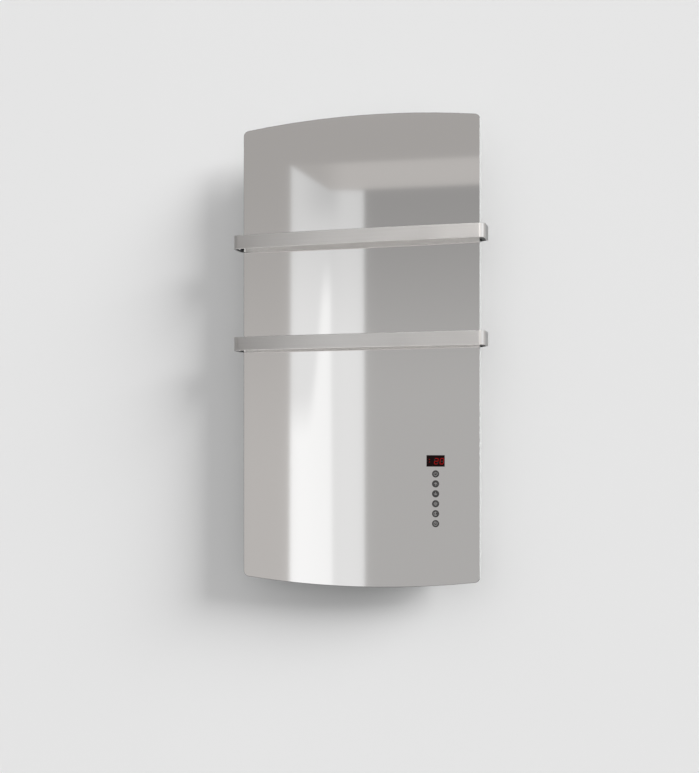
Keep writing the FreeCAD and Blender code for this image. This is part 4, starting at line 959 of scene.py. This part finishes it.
# A level by height, dimmed in a band on the left, with the window and the light at the ceiling added.
def farWallTone(x, y, z):
    tone = between(farWall["high"], farWall["low"], smooth(farWall["heights"], z))
    dim = farWall["dim"] * smooth(farWall["dimStart"], x) * smooth(farWall["dimEnd"], x)
    dim *= between(farWall["dimLeast"], 1, smooth(farWall["dimZ"], z))
    window = farWall["window"] * smooth(farWall["windowX"], x) * smooth(farWall["windowZ"], z)
    window *= 1 - farWall["windowFall"] * smooth(farWall["windowEnd"], x)
    light = farWall["light"] * smooth(farWall["lightZ"], z) * smooth(farWall["lightStart"], x)
    light *= 1 - smooth(farWall["lightEnd"], x)
    return warmed(tone * (1 - dim) + window + light)


# The recess is a little darker towards its inner corner, most of all under its top.
def cornerShade(x, z, edges):
    return 1 - (recess["shade"] + recess["topShade"] * smooth(recess["shadeZ"], z)) * smooth(edges, x)


# The lit part of the side ends in a curved line that falls away to the left.
def recessSideTone(x, y, z):
    base = between(recess["sideHigh"], recess["sideLow"], smooth(recess["sideZ"], z))
    left = np.minimum(x - recess["glowX"], 0) / recess["glowWidth"]
    top = recess["glowTop"] - recess["glowDrop"] * (1 - np.exp(-left ** 2))
    lit = smooth([top + step for step in recess["glowFade"]], z)
    return neutral(between(base, recess["glow"], lit) * cornerShade(x, z, recess["sideShadeX"]))


def stripTone(x, y, z):
    tone = between(recess["stripHigh"], recess["stripLow"], smooth(recess["stripZ"], z))
    return neutral(tone * cornerShade(x, z, recess["stripShadeX"]))


def soffitTone(x, y, z):
    return warmed(recess["soffit"] * between(recess["soffitLeast"], 1, smooth(recess["soffitX"], x)))


def panelTone(x, y, z):
    tone = between(recess["panelHigh"], recess["panelLow"], smooth(recess["panelZ"], z))
    return (neutral(tone) + warmed(tone)) / 2


def sideTone(x, y, z):
    return warmed(between(room["side"], room["floor"] - room["floorFall"], smooth(room["sideZ"], z)))


def brightTone(x, y, z):
    tone = room["bright"] * smooth(room["brightZ"], z)
    return neutral(tone * between(room["brightLeast"], 1, smooth(room["brightY"], y)) + room["side"])


def shadeRightTone(x, y, z):
    return warmed(np.full(len(x), room["shadeRight"]))


def floorTone(x, y, z):
    fall = np.maximum(smooth(room["floorX"], np.abs(x)), smooth(room["floorY"], y))
    return warmed(room["floor"] - room["floorFall"] * fall)


def ceilingTone(x, y, z):
    return neutral(between(room["ceilingLeft"], room["ceilingRight"], smooth(room["ceilingX"], x)))


half, far, near, foot, top = (room[name] for name in ("half", "far", "near", "foot", "top"))
wide, shadeTop, brightNear = farWall["half"], room["shadeTop"], room["brightNear"]
leftEnd, rightStart = room["shadeGap"]
farCorners = ((-wide, top), (-wide, foot), (wide, foot), (wide, top))
shadeCorners = ((-half, foot), (leftEnd, foot), (leftEnd, shadeTop), (-half, shadeTop))
shadeRightCorners = ((rightStart, foot), (half, foot), (half, shadeTop), (rightStart, shadeTop))
brightCorners = ((far, foot), (brightNear, foot), (brightNear, top), (far, top))
sideCorners = ((near, top), (near, foot), (far, foot), (far, top))
glowSheet("roomFace", facingY(far, farCorners), farWallTone, 120, 160)
glowSheet("recessSide", facingY(recess["y"], recess["sideCorners"]), recessSideTone, 120, 60)
glowSheet("recessStrip", facingY(recess["y"], recess["stripCorners"]), stripTone)
glowSheet("recessTop", facingY(recess["y"], recess["soffitCorners"]), soffitTone)
glowSheet("recessBack", facingY(recess["y"], recess["panelCorners"]), panelTone)
glowSheet("roomCeiling", facingZ(room["ceilingZ"], half, room["ceilingNear"], far), ceilingTone)
glowSheet("roomFloor", facingZ(room["floorZ"], half, far, near), floorTone)
glowSheet("roomShade", facingY(room["shadeY"], shadeCorners), sideTone)
glowSheet("roomShadeRight", facingY(room["shadeY"], shadeRightCorners), shadeRightTone)
glowSheet("roomBright", facingX(half, brightCorners), brightTone)
glowSheet("roomSide", facingX(-half, sideCorners), sideTone)
print("stage and reflected room set")


# Lamps: a broad sun from the upper right, and two square lamps that show the back. They aim at the middle of
# the heater. Shiny surfaces see the room and the sky instead of the lamps.
lamps = {"keyLamp": {"kind": "SUN", "place": (2.7, -1.0, 1.5), "spread": 27, "power": 3.75},
         "rearLampLeft": {"kind": "AREA", "place": (-1.6, 2.4, 1.2), "size": 1.6, "power": 60},
         "rearLampRight": {"kind": "AREA", "place": (1.8, 2.2, 0.2), "size": 1.6, "power": 40}}


def addLamp(name, kind, place, power, size=0, spread=0):
    light = bpy.data.lights.new(name, kind)
    light.energy = power
    lamp = bpy.data.objects.new(name, light)
    scene.collection.objects.link(lamp)
    away = np.array(place) / np.linalg.norm(place)
    lamp.rotation_euler = (math.acos(away[2]), 0, math.atan2(away[0], -away[1]))
    lamp.visible_glossy = False
    if kind == "SUN":
        light.angle = math.radians(spread)
    else:
        light.shape = "SQUARE"
        light.size = size
        lamp.location = place
        lamp.visible_camera = False


for name, plan in lamps.items():
    addLamp(name, **plan)


# The sky lights from above more than from below; the eye and all shiny surfaces see one plain pale tone.
sky = {"below": 0.16, "level": 0.51, "above": 0.88, "seen": 0.79}


# The light goes by the height of the direction, in three stops.
def skyFinish(tree):
    place = tree.nodes.new("ShaderNodeTexCoord")
    height = span(tree, axes(tree, place.outputs["Generated"])["Z"], (-1, 1), (0, 1))
    stops = [(at, grey(sky[part])) for at, part in ((0.0, "below"), (0.5, "level"), (1.0, "above"))]
    path = tree.nodes.new("ShaderNodeLightPath").outputs
    shiny = reckon(tree, "MAXIMUM", path["Is Glossy Ray"], path["Is Transmission Ray"])
    seen = reckon(tree, "MAXIMUM", path["Is Camera Ray"], shiny)
    light = ramp(tree, height, stops)
    feed(tree.nodes["Background"], "Color", blend(tree, seen, light, grey(sky["seen"])))


world = bpy.data.worlds.new("studioSky")
scene.world = world
world.use_nodes = True
skyFinish(world.node_tree)

# Camera at the photograph's place: level, turned 15.4 degrees, the frame raised by its shift.
view = {"place": (0.6456, -2.4935, -0.2185), "turn": 15.4, "lens": 54.72, "sensor": 36, "shiftUp": 0.0868}
camera = bpy.data.objects.new("camera", bpy.data.cameras.new("camera"))
scene.collection.objects.link(camera)
camera.location = view["place"]
camera.rotation_euler = (math.radians(90), 0, math.radians(view["turn"]))
camera.data.lens = view["lens"]
camera.data.sensor_width = view["sensor"]
camera.data.shift_y = view["shiftUp"]
scene.camera = camera
print("lamps, sky and camera set")
